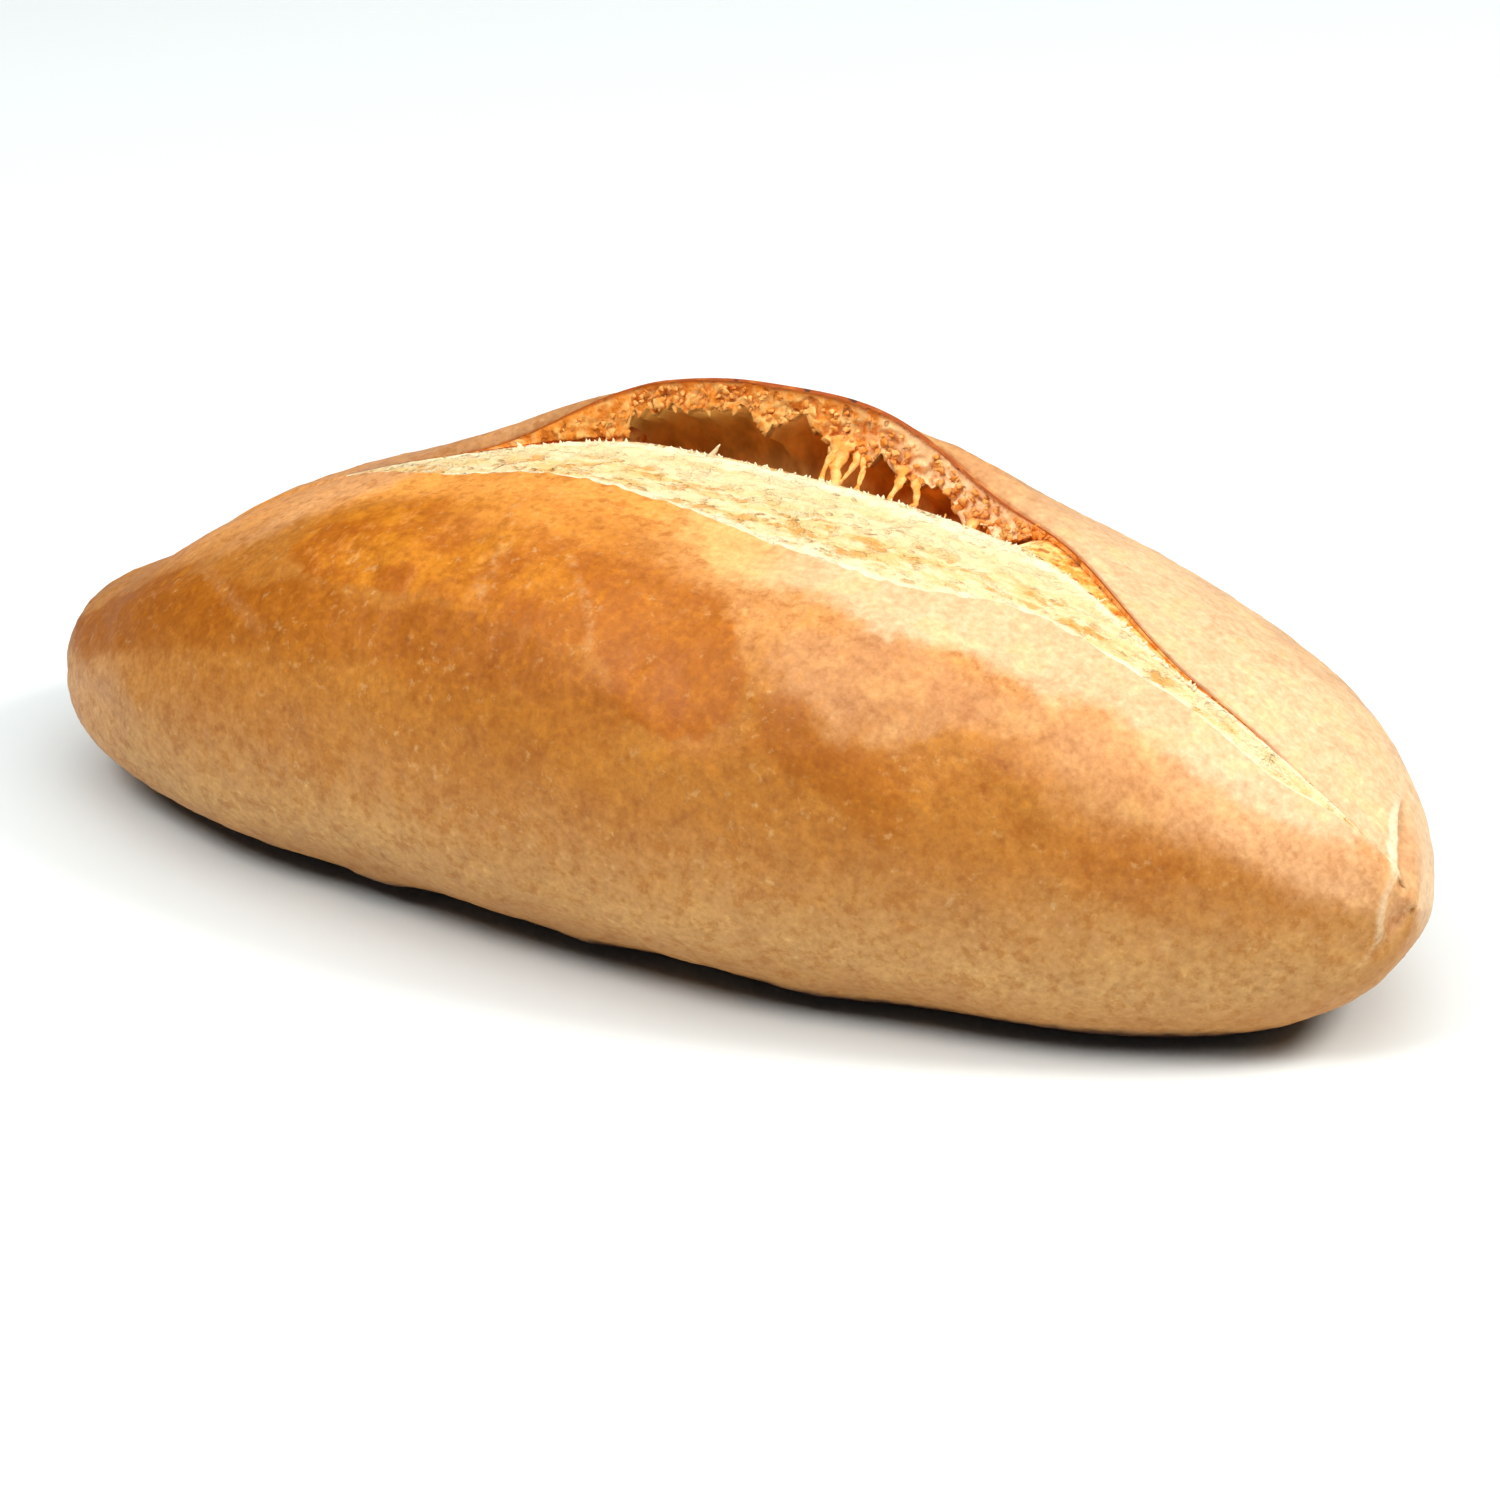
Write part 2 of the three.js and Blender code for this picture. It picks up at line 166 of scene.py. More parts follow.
class StageSizes(bpy.types.PropertyGroup):
    azimuth: FloatProperty(name="Azimuth", default=math.radians(30), subtype="ANGLE",
                           description="The camera's turn from straight in front")
    elevation: FloatProperty(name="Elevation", default=math.radians(25), subtype="ANGLE",
                             description="The camera's height over the horizon")
    distance: length("Distance", 620, "From the camera to the loaf's middle")
    aim_height: length("Aim height", 25, "Height of the loaf's middle")
    aim_right: length("Aim right", 3.39, "How far right of the loaf's middle the camera looks")
    aim_down: length("Aim down", 7.09, "How far below the loaf's middle the camera looks")
    lens: share("Lens", 132.7, "Focal length on a 36 mm sensor")
    top_power: share("Top power", 9.2, "Watts of the wide soft light overhead")
    key_power: share("Key power", 7, "Watts of the key light behind the right end")
    fill_power: share("Fill power", 5.2, "Watts of the front fill light")
    sky: share("Sky", 0.03, "Strength of the even light from all round")


def in_mm(group):
    """The numbers of a property group, with its lengths in millimetres."""
    out = {}
    for key, prop in group.bl_rna.properties.items():
        if prop.type == "FLOAT" and prop.array_length == 0:
            value = getattr(group, key)
            out[key] = value * PER_METRE if prop.unit == "LENGTH" else value
    return namedtuple("Sizes", out)(**out)


# ---------------------------------------------------------------------------------------
# The loaf's form, in millimetres
# ---------------------------------------------------------------------------------------

# How width, crown and keel close towards the ends: power and root
TAPER_LEFT = (2.02, 0.363)
TAPER_RIGHT_FRONT = (1.99, 1.01)
TAPER_RIGHT_BACK = (3.1, 0.508)
TAPER_CROWN_LEFT = (2.46, 1.26)
TAPER_CROWN_RIGHT = (2.71, 0.927)
TAPER_KEEL = (6, 0.5)
BLUNT_POWER = 14
# Low rises and dips of the crown: x, spread to the left, spread to the right, height
CROWN_BUMPS = ((-84.3, 2, 2.2, 1.1), (-75.5, 3.5, 3.5, -0.7), (-64, 5, 8, 0.7))

# Bells along the loaf: middle, spread to the left, spread to the right
PALE_FACE_BELL = (24.5, 13, 8.5)
MOUTH_BELL = (19.6, 20.2, 14.5)
EAR_BELL = (-3, 20, 20.5)
EAR_SHOULDER = (20.5, 5, 7)
LEFT_SHOULDER = (-23, 5, 4)
SLIT = (-23, 3, 2.5)
EAR_TOP = EAR_BELL[0]

# Where things start and stop along the loaf, each from nothing to full and back
PALE_FACE_SPAN = ((-54, -36), (70, 82))
TEAR_SPAN = ((-40, -14), (34, 60))
HOLLOW_SPAN = ((-18.6, -17.6), (24, 36))
PALE_FACE_NARROWS = (-5, 40)
CUT_THINS = (34, 60)
EAR_PARTS = (-42, -14)
LIP_RISES = (-25, EAR_TOP)
RIM_STOPS = (66, 76)
# The same, in shares of the slash's length
MOUTH_SPAN = ((0, 0.06), (0.88, 1))
CUT_SPAN = ((0, 0.05), (0.9, 0.97))
LIP_SPAN = ((0, 0.12), (0.7, 0.97))
EAR_STARTS = (0, 0.2)

EAR_DROP = 20             # length over which the ear falls to the right of its top
LEFT_LIP = 0.35           # share of the ear's lip that the rim keeps left of the top
RIGHT_LIP = 1.35          # and right of it
LEFT_SHOULDER_SHARE = 0.4       # height of the left shoulder, as a share of the right one's
LIP_BEFORE_AXIS = 0.25    # least widths of the pale face on both sides of the axis
TEAR_BEHIND_AXIS = 0.1
RIM_GAP = 0.35            # gap that the cut leaves between the pale face and the ear's rim
CUT_LEFT_OPEN = 0.08      # share of the cut's thickness that its ends keep
CUT_THINNING = 0.5        # how much thinner the cut gets to the right
NARROW_LOAF = 14          # half width below which the slash narrows with the loaf
CRUMB_SLOPE = 0.25        # how far the ear's inner face comes forward, for each millimetre down
SHALLOW_CRUMB = 0.86      # its depth where there is no hollow, as a share of the step there
STEP_BULGE = 0.8          # the step is the ear's height less this share of the pale face's bulge
STEP_LEAST = 0.12         # and at least this share of the cut
FACE_LEAST = 0.1          # least depth of the inner face, as a share of the cut
# Ripples of the torn edge under the ear: height, turn for each millimetre, start
TORN_RIPPLES = ((0.22, 1.9, 0), (0.18, 1.1, 2))
# Teeth of the torn edge: x, half width, how far the tooth hangs
TEETH = ((-13, 1.4, -0.5), (-9.8, 1.2, 0.5), (-6, 1.6, -0.3), (-1.6, 1.5, 2.2), (3.2, 2, -0.5),
         (6.2, 1.3, 0.5), (9.4, 1.8, 1.1), (12.5, 1.3, -0.4), (15.4, 1.8, 0.9), (19, 1.4, -0.4),
         (23, 1.8, 1), (8.5, 5, 1.9), (16, 5, 1.5), (28, 4.5, 1.7))
# The hollow's section: points after the tear, and the last one before the torn edge
HOLLOW_POINTS = ((0.3, -3.8), (4.2, -8), (10.5, -7))
HOLLOW_LAST = (6, -4.2)
HOLLOW_LEAST = 0.03             # share of the hollow's depth that the cut keeps all along
SLIT_SHARE = 0.16               # and that the slit left of the hollow has
CRUMB_BOW = 0.6                 # how far the ear's inner face bows
RIM_THICKNESS = (0.26, 0.1)     # at least, and for each millimetre of the ear's height
RIM_SLOPE = (0.95, -0.2)        # the way across the rim, to the back and up
RIM_CROWN = 0.2
EAR_FALL = math.radians(62)     # the crust behind the ear comes back to the plain loaf here
EAR_FALL_POWER = 2.2
CURL_WIDTH = 1.8                # the rim's edge curls down over this width
BACK_MOST = 0.97                # share of the half width where the back's crust starts at most

# Waves of the crust. Long ones: length along, turns round, start along, start round. Short ones:
# length along, turns round, share of the long ones' height.
WAVE_LONG = (9, 2, 1.3, 0.4)
WAVE_SHORT = (5.2, 3, 0.6)
MM_PER_RADIAN = 30              # crust for each radian round the section
# Dents: how many, the steps that scatter them, and where they may lie
DENT_COUNT = 22
DENT_STEPS = (0.7549, 0.5698, 0.3711)
DENT_X = (-74, 72)
DENT_DEGREES = (-25, 80)
DENT_RADIUS = (4.5, 8.5)
# Bumps along the foot: x, angle in degrees, radius, height
FOOT_BUMPS = ((-31, -47, 4.5, 0.8), (-3, -52, 4, 0.6), (24, -50, 6, 0.5))
# The seam round the right end: x, and where it turns back above and below, in degrees and slope
SEAM = (83.0, 86.0, 0.14, -6.0, 0.1)
SEAM_SPAN = ((-34, 10), (112, 124))
SEAM_DEEPENS = (50, 84)
SEAM_RIDGE = (0.35, 0.7)        # share of the fold's depth, half width
SEAM_GROOVE = (1.5, 1.1)        # place beyond the ridge, half width

# Points round one section, by stretch: front crust, pale face, hollow, ear's crumb, rim, back
AROUND = (90, 32, 26, 16, 5, 60)
FIRST_BACK = sum(AROUND[:5])
LAST_FACE = sum(AROUND[:2]) - 1
MATERIAL_OF_STRETCH = np.array([0, 1, 2, 3, 4, 0])
# Sections along the loaf: the part where they are densest, and how many lie left of it, in it
# and right of it
DENSE_PART = (-52.0, 44.0)
STATION_COUNTS = (48, 292, 70)

# Noise on the surface: height, cell size, seed, and how many layers where it has more than one.
# The height of the crust's grain is a property.
CRUST_GRAIN = (1.7, 3, 3)
CRUST_DIMPLES = (0.06, 5, 9)
FACE_STREAKS = (0.3, 0.9, 21, 3)
FACE_PITS = (1, 1.1, 5)
FACE_FLAKES = ((1.1, 1.3, 31), (0.6, 4, 33))
CRUMB_LUMPS = (0.75, 1.4, 41, 3)
CRUMB_GRAIN = (0.3, 0.6, 47)
HOLLOW_RIBS = (0.5, 1.5, 51)
HOLLOW_GRAIN = (0.25, 1.2, 55, 3)
RAGGED_EDGE = ((0.7, 0.8, 61), (0.45, 0.45, 67))
FACE_STRETCH = (0.45, 1, 1)
RIB_STRETCH = (1, 0.25, 0.2)
PIT_RANGE = (0.3, 1)            # the pits' noise counts between these values
PIT_DEPTH = 0.45
FACE_EDGES = (0.045, 0.05)      # widths of the pale face's raised edges, as shares of the face
EDGE_HEIGHT = 0.3
FLAKY_MOST = 1.6                # highest flakes on those edges, against the edges' height
LUMPY_EAR = 4                   # height of the ear from which its crumb is fully lumpy
SEAM_REACH = 9                  # how far before the seam its distance still counts
LAYER_HEIGHT = 0.55             # each finer layer of noise, against the one before it
LAYER_SIZE = 0.47

# Crumb strands across the hollow: x at the pale face, x under the ear, how far up it reaches,
# and half widths at the bottom, the middle and the top
STRANDS = (
    (9.3, 7.5, 1.0, 0.85, 0.55, 1.7), (8.3, 6.3, 1.0, 0.4, 0.3, 0.9),
    (12.1, 10.2, 1.0, 0.3, 0.16, 0.4), (12.9, 10.2, 0.8, 0.22, 0.12, 0.25),
    (17.4, 14.2, 1.0, 0.42, 0.34, 0.8), (19.7, 16.6, 1.0, 0.5, 0.3, 0.7),
    (27.4, 23.9, 1.0, 0.45, 0.34, 0.9), (10.3, 9.0, 1.0, 0.3, 0.2, 0.6),
    (8.8, 8.6, 0.7, 0.5, 0.3, 0.12), (17.9, 20.6, 0.34, 0.5, 0.4, 0.3),
    (22.9, 21.8, 0.5, 0.3, 0.14, 0.12))
STRAND_SAG = 0.06         # sag and sideways sway, for each millimetre of the strand
STRAND_SWAY = 0.045
STRAND_TURN = 2.2         # each strand sways from a different place
# Thin webs high up between strands: x from, x to, how far down they reach
WEBS = ((5.4, 9.6, 0.34), (13.2, 17.4, 0.3), (22.6, 25.4, 0.3))
WEB_HALF_WIDTH = 0.22

# Shreds and flakes: how many, where they may lie along the loaf, and their widths along them
SHRED_COUNT = 330
SHRED_X = (-26, 36)
SHRED_WIDTHS = np.array([0.9, 1.3, 1.0, 0.6, 0.15])
FLAKE_COUNT = 150
FLAKE_X = (-30, 60)
FLAKE_WIDTHS = np.array([1.0, 0.9, 0.6, 0.15])
TALL_FLAKE_X = -6.5
TALL_FLAKE_REACH = (1.2, 0.3, 1.8)
TALL_FLAKE_WIDTHS = np.array([0.5, 0.36, 0.28, 0.24, 0.18, 0.06])
SHRED_SEED = 7
SLEEVE_GRAIN = 0.5              # cell size of the roughness of strands, shreds and flakes


def smooth(start, end, x):
    """0 before start and 1 after end, with a smooth rise between them."""
    t = np.clip((x - start) / (end - start), 0, 1)
    return t * t * (3 - 2 * t)


def between(x, opens, closes):
    """1 from where it has opened to where it closes and 0 outside, with smooth ends."""
    return smooth(*opens, x) * (1 - smooth(*closes, x))


def bell(x, shape):
    """1 at the middle, falling off by its own spread on each side."""
    middle, left, right = shape
    return np.exp(-0.5 * ((x - middle) / np.where(x < middle, left, right)) ** 2)


def taper(r, shape, rounding=0.0):
    """How much is left at r, a share of the way from the middle to the end."""
    power, root = shape
    return (1 - rounding) * (1 - r ** power) ** root + rounding * np.sqrt(1 - r ** BLUNT_POWER)


def signed_power(v, power):
    return np.sign(v) * np.abs(v) ** power


def lattice_noise(points, size, seed):
    """Smooth noise from -1 to 1 with cells of the given size."""
    p = np.asarray(points, float) / size + 1000.0
    cell = np.floor(p).astype(np.int64)
    f = p - cell
    f = f * f * (3 - 2 * f)
    total = np.zeros(p.shape[:-1])
    for corner in range(8):
        step = np.array([corner & 1, corner >> 1 & 1, corner >> 2 & 1])
        c = cell + step
        h = (c[..., 0] * 73856093 ^ c[..., 1] * 19349663 ^ c[..., 2] * 83492791) + seed * 6971
        h = (h ^ h >> 13) * 1274126177 & 0xFFFFFFFF
        value = ((h ^ h >> 16) & 0xFFFF) / 32767.5 - 1
        total += value * np.prod(np.where(step, f, 1 - f), axis=-1)
    return total


def noise(points, height, size, seed, layers=1):
    """Smooth noise of the given height and cell size, with finer and lower layers on it."""
    return height * sum(LAYER_HEIGHT ** k * lattice_noise(points, size * LAYER_SIZE ** k, seed + k)
                        for k in range(layers))


def scattered(number, step, span):
    """A place in the span, spread evenly and without a pattern over the numbers."""
    return span[0] + (span[1] - span[0]) * (number * step % 1)


def curve_through(knots, count):
    """Points on a smooth curve through knots, from the first up to just before the last."""
    pieces = len(knots) - 1
    knots = [2 * knots[0] - knots[1], *knots, 2 * knots[-1] - knots[-2]]
    points = []
    for place in np.arange(count) / count * pieces:
        i = int(place)
        f = place - i
        a, b, c, d = knots[i:i + 4]
        points.append(0.5 * (2 * b + (c - a) * f + (2 * a - 5 * b + 4 * c - d) * f * f
                             + (3 * b - a - 3 * c + d) * f ** 3))
    return np.stack(points, 1)


def without_angle(points):
    """A stretch that has no angle and no crust relief."""
    flat = np.zeros(points.shape[:2])
    return points, flat, flat


class Loaf:
    """The loaf's surface at stations x, from the sizes of the two property groups."""

    def __init__(self, sizes, cut):
        self.s = sizes
        self.cut = cut

    def body(self, x):
        """Front and back width, crown, keel and waist of the plain loaf at x."""
        s = self.s
        r = np.minimum(np.abs(x) / s.half_length, 1)
        left = x < 0
        width_left = taper(r, TAPER_LEFT)
        front_right = taper(r, TAPER_RIGHT_FRONT, s.tip_rounding)
        front = s.front_width * np.where(left, width_left, front_right)
        back = s.back_width * np.where(left, width_left, taper(r, TAPER_RIGHT_BACK))
        tip = s.tip_left + (s.tip_right - s.tip_left) * smooth(-1, 1, x / s.half_length)
        rise = np.where(left, taper(r, TAPER_CROWN_LEFT, s.tip_rounding),
                        taper(r, TAPER_CROWN_RIGHT, s.tip_rounding))
        crown = tip + (s.crown_height - tip) * rise
        for *shape, height in CROWN_BUMPS:
            crown = crown + height * bell(x, shape)
        keel = tip - (tip + s.base_dip) * taper(r, TAPER_KEEL)
        return front, back, crown, keel, keel + (crown - keel) * s.waist

    def section_point(self, body, angle):
        """A point of the plain section: -90 degrees is the keel, 0 the front, 90 the top."""
        front, back, crown, keel, waist = (v[:, None] for v in body)
        c, s = np.cos(angle), np.sin(angle)
        power = 2 / np.where(s >= 0, self.s.upper_squareness, self.s.lower_squareness)
        y = -np.where(c > 0, front, back) * signed_power(c, power)
        z = waist + np.where(s >= 0, crown - waist, waist - keel) * signed_power(s, power)
        return np.stack([y, z], -1)

    def top_angle(self, part):
        """The angle of a place on the upper half, from its share of the half width."""
        return np.arccos(np.clip(-signed_power(part, self.s.upper_squareness / 2), -1, 1))

    def torn_edge(self, x):
        """How far the torn edge hangs below the ear's plain inner face."""
        drop = sum(height * np.sin(x * turn + start) for height, turn, start in TORN_RIPPLES)
        for at, half, hang in TEETH:
            drop = drop + hang * np.exp(-(((x - at) / half) ** 2))
        return drop

    def ear(self, x, u):
        """Height of the ear's rim over the plain loaf, and of the crust just behind it."""
        c = self.cut
        lip = c.ear_lip * between(u, *LIP_SPAN)
        shoulder = c.ear_shoulder * between(u, *LIP_SPAN) * bell(x, EAR_SHOULDER)
        rise = c.ear_height * bell(x, EAR_BELL) * smooth(*EAR_STARTS, u) + lip + shoulder
        rise = rise + LEFT_SHOULDER_SHARE * c.ear_shoulder * bell(x, LEFT_SHOULDER)
        left = rise * smooth(*EAR_PARTS, x) + LEFT_LIP * c.ear_lip * smooth(*LIP_RISES, x)
        far = np.maximum(x - EAR_TOP, 0) / EAR_DROP
        right = c.ear_height * np.exp(-0.5 * far ** 4) + RIGHT_LIP * lip
        return np.where(x < EAR_TOP, left, right), rise

    def edges(self, x):
        """The slash's lines at x: shares of the half width, heights, and points of the section."""
        body = self.body(x)
        front, back = body[:2]
        c = self.cut
        u = np.clip((x - c.start) / (c.end - c.start), 0, 1)
        cut = CUT_LEFT_OPEN + (1 - CUT_LEFT_OPEN) * between(u, *CUT_SPAN)
        cut = cut * (1 - CUT_THINNING * smooth(*CUT_THINS, x))
        axis = c.axis_left + (c.axis_right - c.axis_left) * u
        pale = c.pale_face - (c.pale_face - c.pale_narrow) * smooth(*PALE_FACE_NARROWS, x)
        pale = (pale + c.pale_swell * bell(x, PALE_FACE_BELL)) * between(x, *PALE_FACE_SPAN)
        lip = axis - LIP_BEFORE_AXIS - pale
        tear = axis + TEAR_BEHIND_AXIS + c.tear * between(x, *TEAR_SPAN)
        rim = tear + RIM_GAP * cut + c.mouth * bell(x, MOUTH_BELL) * between(u, *MOUTH_SPAN)
        shrink = np.minimum(1, np.minimum(front, back) / NARROW_LOAF)

        def part(y):
            return y * shrink / np.maximum(np.where(y < 0, front, back), TINY)

        ear, rise = self.ear(x, u)
        hollow = between(x, *HOLLOW_SPAN)
        bulge = c.bulge * np.sin(np.pi * u)
        tear_at = self.section_point(body, self.top_angle(part(tear))[:, None])[:, 0]
        rim_at = self.section_point(body, self.top_angle(part(rim))[:, None])[:, 0]
        tear_at[:, 1] += bulge
        rim_at[:, 1] += ear
        shallow = SHALLOW_CRUMB * np.maximum(ear - STEP_BULGE * bulge, STEP_LEAST * cut)
        face = (c.crumb_face + self.torn_edge(x)) * hollow + (1 - hollow) * shallow
        face = np.maximum(face, FACE_LEAST * cut)
        torn_at = rim_at - np.stack([CRUMB_SLOPE * face, face], -1)
        return dict(body=body, lip=part(lip), tear=part(tear), cut=cut, ear=ear, rise=rise,
                    hollow=hollow, bulge=bulge, tear_at=tear_at, rim_at=rim_at,
                    torn_at=torn_at, u=u)

    def stretches(self, x):
        """The closed sections at x as six stretches of points, each with angle and relief share."""
        e = self.edges(x)
        body, cut = e["body"], e["cut"]
        tear, torn, rim = e["tear_at"], e["torn_at"], e["rim_at"]
        front_t, face_t, _, crumb_t, rim_t, back_t = (np.arange(n) / n for n in AROUND)

        down = -math.pi / 2
        lip_angle = self.top_angle(e["lip"])[:, None]
        angle = down + (lip_angle - down) * front_t
        front = (self.section_point(body, angle), angle, np.ones_like(angle))

        angle = self.top_angle(e["lip"][:, None] + (e["tear"] - e["lip"])[:, None] * face_t)
        points = self.section_point(body, angle)
        points[..., 1] += e["bulge"][:, None] * np.sin(np.pi / 2 * face_t)
        face = (points, angle, np.broadcast_to(1 - face_t, angle.shape))

        open_most = np.maximum(e["hollow"], HOLLOW_LEAST * cut)
        open_most = np.maximum(open_most, SLIT_SHARE * bell(x, SLIT))[:, None]
        knots = [tear, *(tear + open_most * place for place in HOLLOW_POINTS),
                 torn + open_most * HOLLOW_LAST, torn]
        hollow = without_angle(curve_through(knots, AROUND[2]))

        points = torn[:, None] + (rim - torn)[:, None] * crumb_t[:, None]
        points[..., 0] += CRUMB_BOW * e["hollow"][:, None] * np.sin(np.pi * crumb_t)
        crumb = without_angle(points)

        least, with_ear = RIM_THICKNESS
        thick = (least + with_ear * e["ear"]) * cut
        outer = rim + thick[:, None] * RIM_SLOPE
        points = rim[:, None] + (outer - rim)[:, None] * rim_t[:, None]
        points[..., 1] += RIM_CROWN * thick[:, None] * np.sin(np.pi * rim_t)
        edge = without_angle(points)

        half = np.where(outer[:, 0] > 0, body[1], body[0])
        first = np.minimum(outer[:, 0] / np.maximum(half, TINY), BACK_MOST)
        first = self.top_angle(first)[:, None]
        angle = first + (1.5 * math.pi - first) * back_t
        near = np.clip(1 - (angle - first) / EAR_FALL, 0, 1) ** EAR_FALL_POWER
        points = self.section_point(body, angle)
        points += (outer[:, None] - self.section_point(body, first)) * near[..., None]
        behind = np.linalg.norm(points - outer[:, None], axis=-1)
        curl = (e["rise"] - e["ear"])[:, None] * (1 - np.exp(-((behind / CURL_WIDTH) ** 2)))
        points[..., 1] += curl * near
        return (front, face, hollow, crumb, edge, (points, angle, 1 - near)), e

    def relief(self, x, y, z, angle):
        """Height of the crust's relief over the plain loaf, the same as the solid's."""
        s = self.s

        def round_from(at, degrees, radius):
            arc = MM_PER_RADIAN * (angle - math.radians(degrees))
            return ((x - at) ** 2 + arc ** 2) / radius ** 2

        size, turns, start, start_round = WAVE_LONG
        waves = np.sin(x / size + start) * np.cos(turns * angle + start_round)
        size, turns, part = WAVE_SHORT
        h = s.wave * (waves + part * np.sin(x / size + turns * angle))
        for number in range(1, DENT_COUNT + 1):
            spans = zip(DENT_STEPS, (DENT_X, DENT_DEGREES, DENT_RADIUS))
            dent = [scattered(number, step, span) for step, span in spans]
            h = h - s.dent_depth * np.exp(-round_from(*dent) ** 2)
        for *bump, height in FOOT_BUMPS:
            h = h + height * np.exp(-round_from(*bump))
        degrees = np.degrees(angle)
        across = self.seam_gap(x, y, z, angle)
        inside = between(degrees, *SEAM_SPAN) * (0.5 + 0.5 * smooth(*SEAM_DEEPENS, degrees))
        part, width = SEAM_RIDGE
        h = h + part * s.fold_depth * inside * np.exp(-((across / width) ** 2))
        place, width = SEAM_GROOVE
        return h - s.fold_depth * inside * np.exp(-(((across - place) / width) ** 2))

    def seam_gap(self, x, y, z, angle):
        """Distance over the surface from the seam round the right end, positive beyond it."""
        at, top, top_slope, bottom, bottom_slope = SEAM
        degrees = np.degrees(angle)
        above, below = np.maximum(degrees - top, 0), np.maximum(bottom - degrees, 0)
        line = at - top_slope * above - bottom_slope * below
        steps = np.sqrt(sum(np.diff(v, axis=0) ** 2 for v in (x, y, z)))
        run = np.concatenate([np.zeros_like(x[:1]), np.cumsum(steps, axis=0)])
        passed = np.clip((line[:-1] - x[:-1]) / np.diff(x, axis=0), 0, 1)
        return run - np.sum(steps * passed, axis=0)


def stations(half_length):
    """Places of the sections along the loaf, closest together where the hollow is."""
    left_end, right_end = DENSE_PART
    left_count, dense_count, right_count = STATION_COUNTS

    def closing(count):
        return 1 - np.cos(np.linspace(0, np.pi / 2, count + 2)[1:-1])

    left = -half_length + (half_length + left_end) * closing(left_count)
    right = half_length - (half_length - right_end) * closing(right_count)
    return np.concatenate([left, np.linspace(left_end, right_end, dense_count), right[::-1]])


def grid_normals(points):
    """Unit normals of a grid of sections (stations by points round), facing out."""
    along = np.gradient(points, axis=0)
    around = np.roll(points, -1, axis=1) - np.roll(points, 1, axis=1)
    normal = np.cross(along, around)
    return normal / np.maximum(np.linalg.norm(normal, axis=-1, keepdims=True), 1e-9)


# Outlines of the crust's patches: x along the loaf, and degrees up the section
PATCHES = {
    "amber": ((-47, 60), (-46, 72), (-41, 77), (-32, 80), (-18, 79), (-9, 74), (-2, 69), (7, 64),
              (12, 60), (15, 53), (18, 43), (19, 31), (14, 25), (6, 27), (2, 35), (-1, 40),
              (-8, 41), (-12, 43), (-17, 44), (-23, 46), (-29, 44), (-36, 47), (-42, 52)),
    "band": ((-84, 46), (-76, 60), (-66, 66), (-61, 59), (-55, 51), (-47, 49), (-40, 48),
             (-36, 46), (-29, 43), (-23, 45), (-17, 43), (-12, 42), (-8, 40), (-2, 39), (2, 37),
             (5, 30), (3, 16), (-4, 10), (-12, 12), (-21, 22), (-31, 25), (-41, 24), (-52, 24),
             (-61, 26), (-70, 24), (-84, 22)),
    "brown": ((19, 37), (24, 39), (27, 38), (28, 31), (32, 31), (36, 29), (38, 22), (39, 12),
              (36, 8), (33, 13), (30, 18), (27, 20), (23, 22), (20, 24)),
    "peach": ((18, 52), (21, 58), (27, 60), (32, 61), (37, 63), (40, 60), (44, 58), (47, 56),
              (49, 52), (48, 47), (43, 46), (39, 43), (38, 38), (36, 34), (32, 33), (29, 33),
              (27, 37), (25, 41), (21, 43)),
    "pale": ((-2, 84), (3, 76), (10, 67), (16, 66), (22, 66), (28, 63), (32, 64), (38, 65),
             (42, 62), (47, 60), (50, 62), (56, 63), (62, 59), (67, 53), (73, 51), (77, 56),
             (80, 70), (84, 80), (84, 110), (10, 110)),
    "rose": ((48, 56), (49, 44), (53, 33), (55, 27), (58, 25), (62, 29), (66, 29), (70, 29),
             (74, 27), (78, 22), (84, 18), (84, 70), (76, 66), (66, 66), (56, 64)),
    "right": ((52, 10), (52, 17), (54, 26), (58, 31), (62, 30), (65, 24), (66, 18), (62, 12),
              (58, 10)),
    "left": ((-72, 66), (-70, 84), (-60, 110), (-44, 110), (-36, 92), (-44, 80), (-50, 72),
             (-58, 66)),
}
# Thin lines on the crust, also as x and degrees: a crease, and two glint lines that are painted
# highlights
LINES = {
    "crease": ((-69.5, 78), (-59.6, 59), (-54.5, 49.4), (-49.8, 40.6), (-44.4, 32.9)),
    "glint": ((-12, 67), (-9, 63), (-3, 50), (-1, 41)),
    "streak": ((-17.5, 64), (-17, 46)),
}
MM_PER_DEGREE = 0.55


def crust_gap(x, degrees, corners, closed):
    """Distance in millimetres of crust from a line of corners, negative outside a closed one."""
    px, py = x, degrees * MM_PER_DEGREE
    corners = [(a, b * MM_PER_DEGREE) for a, b in corners]
    ends = corners[1:] + corners[:1] if closed else corners[1:]
    nearest = np.full(x.shape, np.inf)
    inside = np.full(x.shape, not closed)
    for (ax, ay), (bx, by) in zip(corners, ends):
        dx, dy = bx - ax, by - ay
        t = np.clip(((px - ax) * dx + (py - ay) * dy) / (dx * dx + dy * dy), 0, 1)
        nearest = np.minimum(nearest, np.hypot(px - ax - t * dx, py - ay - t * dy))
        if closed:
            crosses = (ay > py) != (by > py)
            inside ^= crosses & (px < ax + (py - ay) * dx / (dy or TINY))
    return np.where(inside, nearest, -nearest)


